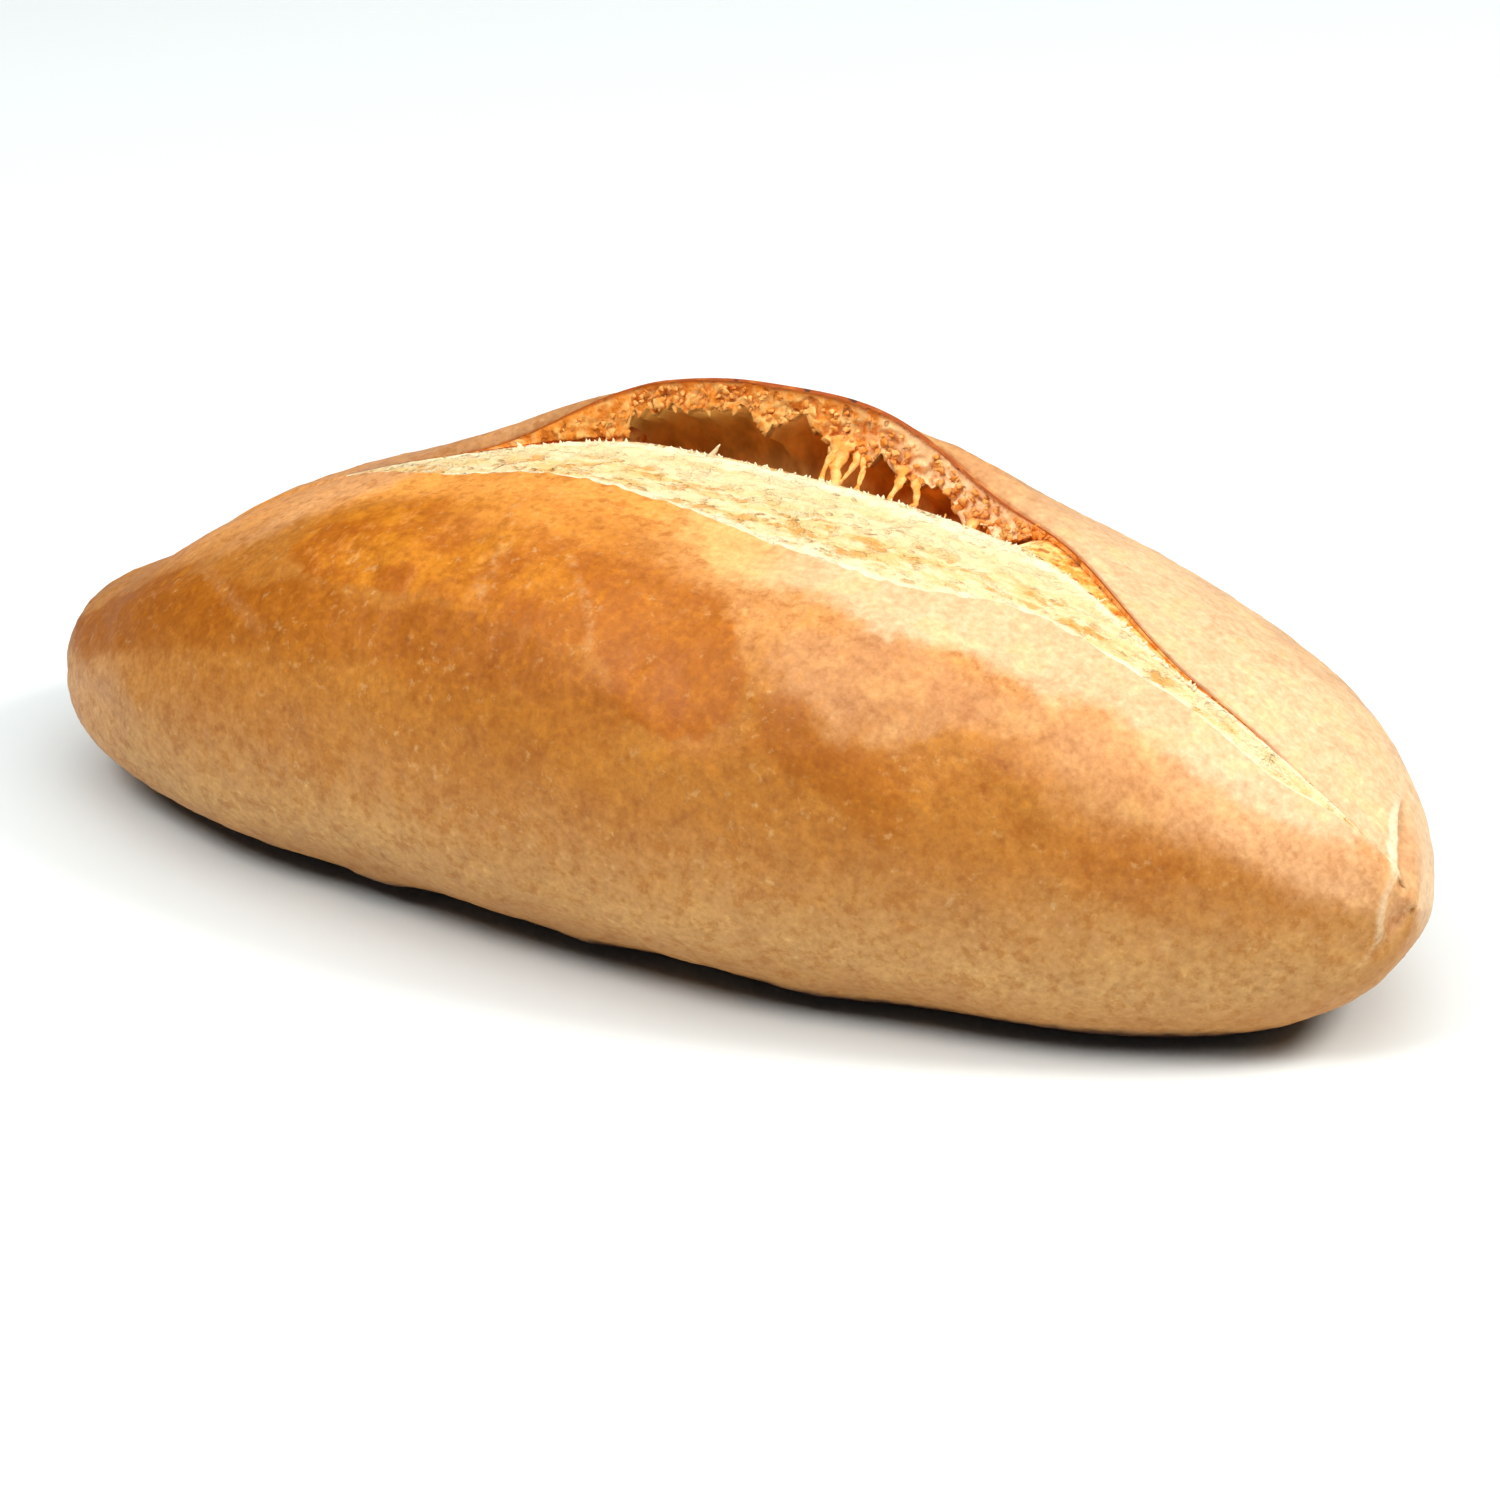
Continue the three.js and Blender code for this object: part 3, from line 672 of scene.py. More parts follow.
def texture(points, along, stretch, relief_share, e, grain):
    """Height of the fine texture: the crust's grain, the pale face's streaks and raised edges,
    the hollow's ribs and the lumps of the ear's crumb."""
    front, face, hollow, crumb, _, back = (stretch == i for i in range(len(AROUND)))
    slash_share = np.sin(np.pi * e["u"])[:, None] ** 0.5
    crust = noise(points, grain, *CRUST_GRAIN) + noise(points, *CRUST_DIMPLES)
    crust = crust * np.clip(relief_share * 3, 0, 1)

    drawn_out = points * FACE_STRETCH
    pits = np.clip(noise(drawn_out, *FACE_PITS), *PIT_RANGE)
    streaks = noise(drawn_out, *FACE_STREAKS) - PIT_DEPTH * pits
    low, high = FACE_EDGES
    edges = np.exp(-(along / low) ** 2) + np.exp(-((1 - along) / high) ** 2)
    flaky = 0.5 + sum(noise(points, *layer) for layer in FACE_FLAKES)
    edges = EDGE_HEIGHT * edges * np.clip(flaky, 0, FLAKY_MOST)
    pale = slash_share * (streaks * smooth(0, 0.12, along) + edges)

    ribs = noise(points * RIB_STRETCH, *HOLLOW_RIBS) + noise(points, *HOLLOW_GRAIN)
    ribs = ribs * e["hollow"][:, None] * np.sin(np.pi * along)
    torn = noise(points, *CRUMB_LUMPS) + noise(points, *CRUMB_GRAIN)
    torn = torn * slash_share * np.clip(e["ear"][:, None] / LUMPY_EAR, 0.1, 1)
    torn = torn * np.sin(np.pi * np.clip(along * 0.85 + 0.15, 0, 1))
    return np.select([front | back, face, hollow, crumb], [crust, pale, ribs, torn])


@lru_cache(maxsize=1)
def loaf_surface(sizes, cut):
    """Stations, points (stations by points round), the stretch of each, attributes and lines."""
    loaf = Loaf(sizes, cut)
    x = stations(sizes.half_length)
    parts, e = loaf.stretches(x)
    section, angle, relief_share = (np.concatenate(v, 1) for v in zip(*parts))
    stretch = np.repeat(np.arange(len(AROUND)), AROUND)
    along = np.concatenate([np.arange(n) / n for n in AROUND])
    hollow, crumb, rim = (stretch == i for i in (2, 3, 4))
    xx = np.broadcast_to(x[:, None], angle.shape)
    points = np.dstack([xx, section])
    h = relief_share * loaf.relief(xx, points[..., 1], points[..., 2], angle)
    points = points + h[..., None] * grid_normals(points)
    h = texture(points, along, stretch, relief_share, e, sizes.grain)
    points = points + h[..., None] * grid_normals(points)
    by_x = np.dstack([xx, 0 * xx, 0 * xx])
    ragged = sum(noise(by_x, *layer) for layer in RAGGED_EDGE) * e["hollow"][:, None]
    in_hollow = np.where(hollow, smooth(0.8, 1, along), 0)
    points[..., 2] -= ragged * np.where(crumb, np.clip(1 - along * 2.2, 0, 1), in_hollow)
    points[..., 2] = np.maximum(points[..., 2], 0)

    degrees = np.degrees(angle)
    degrees[:, hollow | crumb | rim] = degrees[:, LAST_FACE:LAST_FACE + 1]
    back = points[:, FIRST_BACK:]
    step = np.linalg.norm(np.diff(back, axis=1, append=points[:, :1]), axis=-1)
    rim_gap = np.zeros_like(angle)
    rim_gap[:, FIRST_BACK:] = step.cumsum(1) - step
    seam = loaf.seam_gap(xx, points[..., 1], points[..., 2], angle)
    attributes = {
        "rim_gap": rim_gap,
        "across": np.broadcast_to(np.where(rim, 1, along), angle.shape),
        "seam": np.maximum(seam, -SEAM_REACH),
        "degrees": np.where(degrees > 90, 180 - degrees, degrees),
    }
    for kind, corners in (PATCHES | LINES).items():
        attributes[kind] = crust_gap(xx, degrees, corners, kind in PATCHES)
    return x, points, stretch, attributes, e


# ---------------------------------------------------------------------------------------
# Making mesh pieces
# ---------------------------------------------------------------------------------------

def mesh_piece(name, points, faces, materials, material_of=None, attributes=None):
    """A mesh object from points in millimetres, riding on the roll's body."""
    old = bpy.data.objects.get(name)
    if old:
        bpy.data.objects.remove(old)
    mesh = bpy.data.meshes.new(name)
    mesh.from_pydata((np.asarray(points) * MM).tolist(), [], faces)
    for material in materials:
        mesh.materials.append(material)
    if material_of is not None:
        mesh.polygons.foreach_set("material_index", np.asarray(material_of, np.int32))
    for key, values in (attributes or {}).items():
        layer = mesh.attributes.new(key, "FLOAT", "POINT")
        layer.data.foreach_set("value", np.asarray(values, np.float32).ravel())
    mesh.polygons.foreach_set("use_smooth", np.ones(len(mesh.polygons), bool))
    mesh.update()
    piece = bpy.data.objects.new(name, mesh)
    bpy.context.scene.collection.objects.link(piece)
    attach(piece, BODY)
    return piece


def sleeve(points, wide, thin, sides, roughness, seed):
    """A closed tube along points; wide is its radius along the loaf, thin its radius across."""
    points = np.asarray(points, float)
    run = np.gradient(points, axis=0)
    run /= np.linalg.norm(run, axis=1, keepdims=True)
    side = np.array([1.0, 0, 0]) - run[:, :1] * run
    side /= np.maximum(np.linalg.norm(side, axis=1, keepdims=True), TINY)
    other = np.cross(run, side)
    turn = np.arange(sides)[:, None] * 2 * np.pi / sides
    ring = (side[:, None] * (np.cos(turn) * np.reshape(wide, (-1, 1, 1)))
            + other[:, None] * (np.sin(turn) * np.reshape(thin, (-1, 1, 1))))
    verts = points[:, None] + ring
    verts = verts + ring * noise(verts, roughness, SLEEVE_GRAIN, seed)[..., None]
    n = len(points)
    own = np.arange(n * sides).reshape(n, sides)
    nxt = np.roll(own, -1, axis=1)
    faces = np.stack([own[:-1], nxt[:-1], nxt[1:], own[1:]], -1).reshape(-1, 4).tolist()
    return verts.reshape(-1, 3), [*faces, own[0, ::-1].tolist(), own[-1].tolist()]


def short_sleeve(start, reach, widths, flatness, sides, roughness, seed):
    """A straight sleeve from start over the given reach, with its widths evenly along it."""
    t = np.linspace(0, 1, len(widths))[:, None]
    path = start + np.asarray(reach) * t
    return sleeve(path, widths, widths * flatness, sides, roughness, seed)


def merge(parts):
    """Several closed forms as one list of points and faces."""
    points, faces, start = [], [], 0
    for p, f in parts:
        points.append(p)
        faces += [tuple(i + start for i in face) for face in f]
        start += len(p)
    return np.concatenate(points), faces


# ---------------------------------------------------------------------------------------
# Node materials
# ---------------------------------------------------------------------------------------

class Wire:
    """A socket that numbers and other sockets can be added to, multiplied by and so on."""

    def __init__(self, finish, socket):
        self.finish = finish
        self.socket = socket

    def _math(self, operation, a, b):
        return self.finish.make("ShaderNodeMath", {"operation": operation}, {0: a, 1: b})

    def __add__(self, other):
        return self._math("ADD", self, other)

    __radd__ = __add__

    def __sub__(self, other):
        return self._math("SUBTRACT", self, other)

    def __rsub__(self, other):
        return self._math("SUBTRACT", other, self)

    def __mul__(self, other):
        return self._math("MULTIPLY", self, other)

    __rmul__ = __mul__

    def __truediv__(self, other):
        return self._math("DIVIDE", self, other)


class Finish:
    """One node material."""

    def __init__(self, name, roughness, specular=0.3):
        old = bpy.data.materials.get(name)
        if old:
            bpy.data.materials.remove(old)
        self.material = bpy.data.materials.new(name)
        self.material.use_nodes = True
        self.tree = self.material.node_tree
        self.shader = self.tree.nodes["Principled BSDF"]
        self.shader.inputs["Roughness"].default_value = roughness
        self.shader.inputs["Specular IOR Level"].default_value = specular
        self.place = self.make("ShaderNodeTexCoord", output="Object")

    def make(self, kind, settings=None, inputs=None, output=0):
        """A node of any kind: its settings first, then the values or links of its sockets."""
        node = self.tree.nodes.new(kind)
        for key, value in (settings or {}).items():
            setattr(node, key, value)
        for key, value in (inputs or {}).items():
            if isinstance(value, Wire):
                self.tree.links.new(value.socket, node.inputs[key])
            else:
                node.inputs[key].default_value = value
        return Wire(self, node.outputs[output])

    def vector(self, operation, a, b, socket=1):
        """Maths on vectors; the second value goes into the given socket."""
        return self.make("ShaderNodeVectorMath", {"operation": operation}, {0: a, socket: b})

    def attribute(self, name):
        """A number that the mesh holds for each of its points."""
        return self.make("ShaderNodeAttribute", {"attribute_name": name}, output="Fac")

    def axis(self, name):
        """The place along X, Y or Z in millimetres."""
        return self.make("ShaderNodeSeparateXYZ", None, {0: self.place}, name) * PER_METRE

    def stretched(self, stretch):
        """The place for a pattern that is longer along the axes where stretch is below 1."""
        return self.vector("MULTIPLY", self.place, stretch) if stretch else self.place

    def noise(self, size_mm, detail=3.0, stretch=None, rough=0.55):
        """Soft noise from 0 to 1 with features of about this many millimetres."""
        return self.make("ShaderNodeTexNoise", None, {
            "Vector": self.stretched(stretch), "Scale": PER_METRE / size_mm, "Detail": detail,
            "Roughness": rough}, output="Fac")

    def pores(self, size_mm, warp, warp_size, stretch=None):
        """Distance to the middle of the nearest pore, with the pores bent out of round."""
        place = self.stretched(stretch)
        shift = self.make("ShaderNodeTexNoise", None, {
            "Vector": place, "Scale": PER_METRE / warp_size, "Detail": 2.0}, output="Color")
        shift = self.vector("SUBTRACT", shift, (0.5, 0.5, 0.5))
        place = self.vector("ADD", place, self.vector("SCALE", shift, warp * MM, "Scale"))
        return self.make("ShaderNodeTexVoronoi", None,
                         {"Vector": place, "Scale": PER_METRE / size_mm}, output="Distance")

    def step(self, value, start, end):
        """0 before start and 1 after end, smooth between; start may be the larger."""
        flip = start > end
        low, high = (end, start) if flip else (start, end)
        return self.make("ShaderNodeMapRange", {"interpolation_type": "SMOOTHSTEP"}, {
            "Value": value, "From Min": low, "From Max": high,
            "To Min": float(flip), "To Max": float(not flip)})

    def mix(self, factor, a, b, blend="MIX"):
        """Colour a where factor is 0, and b where it is 1."""
        a, b = (v if isinstance(v, Wire) else (*v, 1) for v in (a, b))
        return self.make("ShaderNodeMix", {"data_type": "RGBA", "blend_type": blend},
                         {0: factor, 6: a, 7: b}, output=2)

    def layers(self, base, *layers):
        """A colour with others laid over it in turn, each as far as its mask says."""
        for mask, rgb in layers:
            base = self.mix(mask, base, rgb)
        return base

    def shade(self, value, rgb, warmth=0.0):
        """A colour multiplied by a value; with warmth its darker places are redder."""
        change = value - 1
        tint = self.make("ShaderNodeCombineColor", None, {
            0: change * (1 - warmth) + 1, 1: value, 2: change * (1 + warmth) + 1})
        return self.mix(1.0, rgb, tint, "MULTIPLY")

    def done(self, base, height=None, height_mm=0.3, strength=1.0, roughness=None):
        """The material, with its colour and, where they are given, its bump and roughness."""
        self.tree.links.new(base.socket, self.shader.inputs["Base Color"])
        if roughness is not None:
            self.tree.links.new(roughness.socket, self.shader.inputs["Roughness"])
        if height is not None:
            bump = self.make("ShaderNodeBump", None, {
                "Height": height, "Distance": height_mm * MM, "Strength": strength})
            self.tree.links.new(bump.socket, self.shader.inputs["Normal"])
        return self.material


class CrustFinish(Finish):
    """The crust's material, with the places and noises that its layers share."""

    def __init__(self, colours):
        super().__init__("golden_crust", 0.62)
        self.c = colours
        self.along = self.axis("X")
        self.degrees = self.attribute("degrees")
        self.rim = self.attribute("rim_gap")
        self.ripple = self.noise(2.2, 3) - 0.5
        self.wobble = (self.noise(8, 3, rough=0.6) - 0.5) * 8 + self.ripple * 3.5
        self.broad = self.noise(20, 2)
        self.medium = self.noise(4.5, 4, rough=0.6)
        self.mottle = self.noise(1.9, 4, rough=0.7)
        self.fine = self.noise(1.3, 3, rough=0.6)
        self.grit = self.noise(0.75, 2, rough=0.6)
        self.blotches = self.step(self.noise(5.2, 4, rough=0.65), 0.42, 0.6)
        # The same places with a wobble, for edges that wander
        self.x = self.along + self.wobble
        self.height = self.axis("Z") + self.wobble
        self.from_rim = self.rim + self.wobble
        self.up = self.degrees + self.wobble
        self.up_wide = self.degrees + self.wobble * 2
        # The part left of the slash, the part behind the slash, and its rear away from the top
        self.uncut = self.step(self.along, -50.0, -57.0)
        behind = self.step(self.rim, 0.0, 0.02) * (1 - self.uncut)
        behind = behind + self.step(self.from_rim, 4.0, 22.0) * self.uncut
        self.behind = behind * self.step(self.degrees, -86.0, -50.0)
        self.rear = self.behind * self.step(self.degrees, 80.0, 46.0)

    def patch(self, name, soft):
        """A patch of the crust, with an edge that is soft over twice this many millimetres."""
        return self.step((self.attribute(name) + self.wobble) / soft, -1.0, 1.0)

    def glow(self):
        """The colour of the glowing patch below the slash's left part."""
        c = self.c
        lumps = self.noise(3.4, 3, rough=0.6, stretch=(1.3, 1, 0.7))
        top = self.step(self.up, 60.0, 74.0) * self.step(self.along, -34.0, -18.0)
        return self.layers(
            c.orange,
            (self.blotches, c.amber),
            (self.step(self.up, 50.0, 34.0) * 0.55, c.amber),
            (self.step(lumps, 0.55, 0.68) * 0.4, c.bright),
            (self.step(self.x, -16.0, 0.0) * 0.65, c.amber),
            (top * 0.6, c.bright))

    def front(self):
        """The front and the ends: foot, baking bands, patches, creases, and glint lines painted as
        highlights.
        """
        c, step, patch, x, wide = self.c, self.step, self.patch, self.x, self.up_wide
        left_tip = step(x, -62.0, -76.0) * step(wide, 34.0, 8.0)
        top = step(wide, 70.0, 82.0) * step(x, -80.0, -62.0)
        middle = step(wide, 36.0, 60.0) * step(x, -10.0, 8.0)
        amber = patch("amber", 0.7 + step(self.degrees, 52.0, 72.0) * 2.6)
        beside_slash = self.mix(step(x, 22.0, 4.0), c.pale, c.honey)
        left = self.mix(step(x, -50.0, -62.0), c.rose, c.caramel)
        crease = step(self.attribute("crease") + self.ripple * 1.4, 1.7, 0.1)
        glint = step(self.attribute("glint") + self.ripple * 1.6, 0.9, 0.0)
        streak = step(self.attribute("streak") + self.ripple * 2.4, 1.7, 0.0)
        return self.layers(
            c.golden,
            (step(self.height, 27.0, 8.0), c.tan),
            (left_tip * 0.6, c.cap),
            (top, c.bright),
            (middle * 0.85, c.caramel),
            (patch("band", 1.6) * (0.35 + 0.65 * step(wide, 16.0, 38.0)), c.brown),
            (amber * 0.92, self.glow()),
            (amber * step(x, -14.0, 0.0) * 0.35, c.brown),
            (patch("brown", 1.6) * 0.85, c.brown),
            (patch("right", 3.0) * 0.35, c.amber),
            (patch("rose", 5.0) * (0.4 + 0.5 * step(x, 58.0, 68.0)), c.rose),
            (patch("peach", 1.4) * 0.8, c.peach),
            (patch("pale", 2.2) * 0.9, beside_slash),
            (patch("left", 2.6) * 0.6, left),
            (crease * 0.28, c.peach),
            # The two glint lines: painted highlights, in the light speck colour
            ((glint + streak) * 0.26 * step(self.fine, 0.36, 0.6), c.vein_and_glint))

    def back(self):
        """The back: pale below the ear, golden further down, with the rim's edge darker."""
        c, step, rim = self.c, self.step, self.rim
        beside_ear = step(self.x, 46.0, 20.0) * step(rim, 34.0, 12.0)
        edge = step(rim, 0.7, 0.15) * (1 - self.uncut) * step(self.along, *reversed(RIM_STOPS))
        return self.layers(
            c.pale,
            (step(self.from_rim, 22.0, 46.0), c.golden),
            (step(self.height, 14.0, 4.0), c.tan),
            (self.blotches * step(rim, 10.0, 30.0) * 0.3, c.brown),
            (beside_ear * 0.85, c.peach),
            (edge * 0.6, c.rim))

    def with_seam(self, base):
        """The seam round the right end as a light line, and the plain crust beyond it."""
        step = self.step
        seam = self.attribute("seam") + (self.noise(2.5, 2) - 0.5) * 0.8
        beside = step(self.degrees, -26.0, 0.0)
        not_rear = 1 - self.rear
        upper = step(self.degrees, 60.0, 84.0)
        line = step(seam + upper, -0.9, -0.1) * step(seam, 0.7, 0.2)
        return self.layers(
            base,
            (step(seam, 0.3, 1.2) * beside * 0.85 * not_rear, self.c.cap),
            (line * beside * (0.3 + upper * 0.35) * not_rear, self.c.crumb_edge))

    def with_mottling(self, base):
        """Mottling, spots and specks, fainter where the crust is light and smooth."""
        c, step, patch = self.c, self.step, self.patch
        pale = patch("pale", 2.0)
        pale = pale + self.behind * step(self.along, 0.0, 12.0) * step(self.rim, 46.0, 22.0)
        light = pale + patch("rose", 4.0) * 0.8 + patch("peach", 2.0) * 0.5
        light = self.make("ShaderNodeMath", {"operation": "MINIMUM"}, {0: light, 1: 1.0})
        rough = 1 - light * 0.8
        lighter = self.mix(step(self.height, 32.0, 16.0), c.orange, c.peach)
        spots = step(self.noise(1.6, 3, rough=0.6), 0.63, 0.71) * step(self.broad, 0.42, 0.6)
        specks = step(self.noise(1.2, 3, rough=0.6), 0.56, 0.74)
        specks = specks * step(self.noise(6, 2), 0.36, 0.6)
        base = self.layers(
            base,
            (step(self.mottle, 0.48, 0.64) * rough * 0.48, c.brown),
            (step(self.medium, 0.5, 0.64) * light * 0.3, c.honey),
            (step(self.mottle, 0.5, 0.36) * rough * 0.3, lighter),
            (spots * rough * 0.35, c.amber),
            (specks * rough * 0.38, c.vein_and_glint))
        tone = 1 + (self.broad - 0.5) * 0.25 + (self.medium - 0.5) * 0.6
        tone = tone + (self.fine - 0.5) * 0.55 + (self.grit - 0.5) * 0.7
        return self.shade(tone, base, 0.3)


def crust_finish(c):
    """Golden crust: patches with crisp and soft edges, baking bands, mottling and specks."""
    f = CrustFinish(c)
    base = f.with_seam(f.mix(f.behind, f.front(), f.back()))
    base = f.layers(
        f.with_mottling(base),
        (f.step(f.up, -16.0, -40.0) * 0.35, c.brown),
        # Below about 4.6 mm the crust turns dark: the baked base, and painted shade in the wedge
        # where the loaf meets the floor
        (f.step(f.axis("Z") + f.ripple * 2, 4.6, 2.2), c.underside))
    bump = f.medium * 0.5 + f.fine * 0.4 + f.grit * 0.15
    return f.done(base, bump, 0.35, 0.5, 0.56 + (f.medium - 0.5) * 0.3)


def pale_face_finish(c):
    """The slash's pale crumb face: lengthwise streaks and pits, and bright ragged edges."""
    f = Finish("pale_crumb", 0.85, 0.15)
    across = f.attribute("across") + (f.noise(2.2, 3) - 0.5) * 0.3
    streaks = f.noise(1.5, 4, stretch=(0.18, 1, 1), rough=0.65)
    lanes = f.step(f.noise(3.4, 3, stretch=(0.12, 1, 1)), 0.42, 0.58)
    lower = f.step(across, 0.66, 0.42)
    pits = f.step(f.pores(1.1, 1.2, 1.5, (0.5, 1, 1)), 0.36, 0.12) * lanes
    marks = f.step(f.noise(2.0, 4, stretch=(0.5, 1, 1), rough=0.7), 0.5, 0.62)
    marked = f.step(f.noise(7, 2), 0.34, 0.52)
    spots = f.step(f.noise(2.6, 3, stretch=(0.5, 1, 1)), 0.62, 0.7)
    fine = f.noise(0.7, 3)
    edges = f.step(across, 0.16, 0.02) + f.step(across, 0.8, 0.96)
    base = f.layers(
        c.crumb,
        (f.step(streaks, 0.4, 0.62) * (0.5 + 0.5 * lower), c.crumb_shade),
        (pits * (0.2 + 0.4 * lower), c.crumb_pit),
        (marks * (0.1 + 0.75 * lower) * marked, c.crumb_pit),
        (spots * lower * 0.6, c.ear),
        (edges * 0.65, c.crumb_edge))
    base = f.shade(1 + (fine - 0.5) * 0.35, base)
    return f.done(base, streaks * 0.9 + fine * 0.4 - pits * 0.5 - marks * 0.3, 0.6)


def ear_crumb_finish(c):
    """The ear's torn inner face: toasted crumb, lighter to the right, partly as painted light, with
    pores, holes and the low places between lumps darkened as painted shade.
    """
    f = Finish("toasted_crumb", 0.85, 0.15)
    along = f.axis("X")
    # The ear's right part: paler crumb, and painted light that brightens it
    right = f.step(along, 2.0, 20.0) * f.step(along + (f.noise(4, 2) - 0.5) * 10, 38.0, 29.0)
    # Pores and holes are painted in the rim colour as painted shade
    pores = f.step(f.pores(1.5, 2.0, 1.4), 0.34, 0.12)
    holes = f.step(f.noise(3.0, 3), 0.63, 0.7)
    lumps = f.noise(1.6, 4, rough=0.65)
    near_rim = f.step(f.attribute("across") + (lumps - 0.5) * 0.2, 0.84, 0.98)
    base = f.layers(
        c.ear,
        (f.step(lumps + right * 0.14, 0.42, 0.62), f.mix(right * 0.9, c.ear_light, c.ear_pale_and_lit)),
        (pores * 0.6 * f.step(f.noise(3.5, 2), 0.42, 0.58), c.rim),
        (near_rim * 0.9, c.rim),
        (holes * 0.7, c.rim))
    # Brighter to the right by a quarter as painted light, with random tone on top
    base = f.shade(1 + right * 0.25 + (f.noise(0.7, 2) - 0.5) * 0.5, base)
    # Painted shade in the low places between the crumb's lumps
    base = f.mix(f.step(lumps, 0.44, 0.32) * 0.45, base, c.rim)
    return f.done(base, lumps - pores * 0.7 - holes, 0.4, 0.75)


def hollow_finish(c):
    """The hollow's stretched brown walls, with painted shade darkening the bottom, and darker to the
    right.
    """
    f = Finish("hollow_crumb", 0.9, 0.1)
    across = f.attribute("across")
    ribs = f.noise(1.6, 3, stretch=(1, 0.35, 0.3))
    cloud = f.noise(3.5, 3, stretch=(1, 0.6, 0.6)) - 0.5
    # Painted shade: the walls darken towards the hollow's bottom
    deep_shade = f.step(across + (f.noise(3, 2) - 0.5) * 0.3, 0.95, 0.6)
    right = f.step(f.axis("X") + (f.noise(5, 2) - 0.5) * 8, -2.0, 6.0)
    base = f.layers(
        c.hollow,
        (deep_shade * 0.6, c.hollow_dark),
        (right * 0.7, c.hollow_dark),
        (f.step(ribs, 0.5, 0.68) * 0.4, c.ear_light))
    # More painted shade at the hollow's bottom
    bottom = f.step(across + cloud * 0.4, 0.8, 0.55)
    return f.done(f.shade(1 + cloud * 1.3 - bottom * 0.3, base), ribs, 0.5, 0.8)


def rim_finish(c):
    """The crust's cut edge along the ear, orange brown with darker spots."""
    f = Finish("crust_rim", 0.6)
    base = f.layers(
        c.rim,
        (f.step(f.noise(1.5, 3), 0.5, 0.7) * 0.3, c.ear),
        (f.step(f.noise(3.2, 2), 0.64, 0.7) * 0.85, c.underside))
    return f.done(base, f.noise(0.9, 2), 0.2, 0.5)


def strand_finish(c):
    """Thin stretched crumb in two toasted tones."""
    f = Finish("stretched_crumb", 0.8, 0.2)
    base = f.mix(f.step(f.noise(1.2, 3), 0.4, 0.6) * 0.8, c.ear_light, c.ear)
    fine = f.noise(0.6, 2)
    return f.done(f.shade(1 + (fine - 0.5) * 0.5, base), fine, 0.3, 0.8)


def shred_finish(c):
    """Small torn shreds of the ear's crumb."""
    f = Finish("toasted_shreds", 0.85, 0.15)
    base = f.mix(f.step(f.noise(1.5, 3), 0.35, 0.65), c.ear, c.ear_light)
    return f.done(base, f.noise(0.5, 2), 0.2, 0.6)


def flake_finish(c):
    """Pale flakes on the edge of the pale face."""
    f = Finish("pale_flakes", 0.85, 0.15)
    return f.done(f.mix(f.noise(1.5, 2), c.crumb_edge, c.crumb), f.noise(0.5, 2), 0.2, 0.6)


def floor_finish(c):
    """A plain pale floor with a barely seen cloudiness."""
    f = Finish("pale_floor", 0.7, 0.1)
    return f.done(f.mix(f.noise(60, 2), c.floor, [v * FLOOR_DIP for v in c.floor]))


# ---------------------------------------------------------------------------------------
# Operators
# ---------------------------------------------------------------------------------------

# Lights: name, place, height of the point it aims at, size, its power's property, tint
LIGHTS = (("top", (0.15, -0.12, 0.9), 0, 1.3, "top_power", (1.0, 0.99, 0.97)),
          ("key", (0.72, 0.25, 0.8), 0.02, 0.35, "key_power", (1.0, 0.97, 0.92)),
          ("fill", (-0.24, -0.62, 0.9), 0.02, 0.42, "fill_power", (1.0, 0.98, 0.96)))
SKY_TINT = (1.0, 0.94, 0.86, 1)
FLOOR_DIP = 0.985
FLOOR_HALF = 3.0
FLOOR_DROP = 0.0001
SENSOR_WIDTH = 36


def sizes_in_mm():
    """The loaf's and the slash's sizes."""
    scene = bpy.context.scene
    return in_mm(scene.loaf_sizes), in_mm(scene.slash_sizes)


def placed(points):
    """Points of the loaf's own space, moved and drawn in a hair so that it fits the solid's box."""
    own = loaf_surface(*sizes_in_mm())[1].reshape(-1, 3)
    low, high = own.min(0), own.max(0)
    solid_low, solid_high = (np.array(corner) * PER_METRE for corner in CAD_BOX)
    room = solid_high - solid_low - (2 * BOX_MARGIN, 2 * BOX_MARGIN, BOX_MARGIN)
    scale = np.minimum(1, room / (high - low))
    middle, solid_middle = (low + high) / 2, (solid_low + solid_high) / 2
    shift = (solid_middle - middle * scale) * (1, 1, 0)
    return np.asarray(points, float) * scale + shift


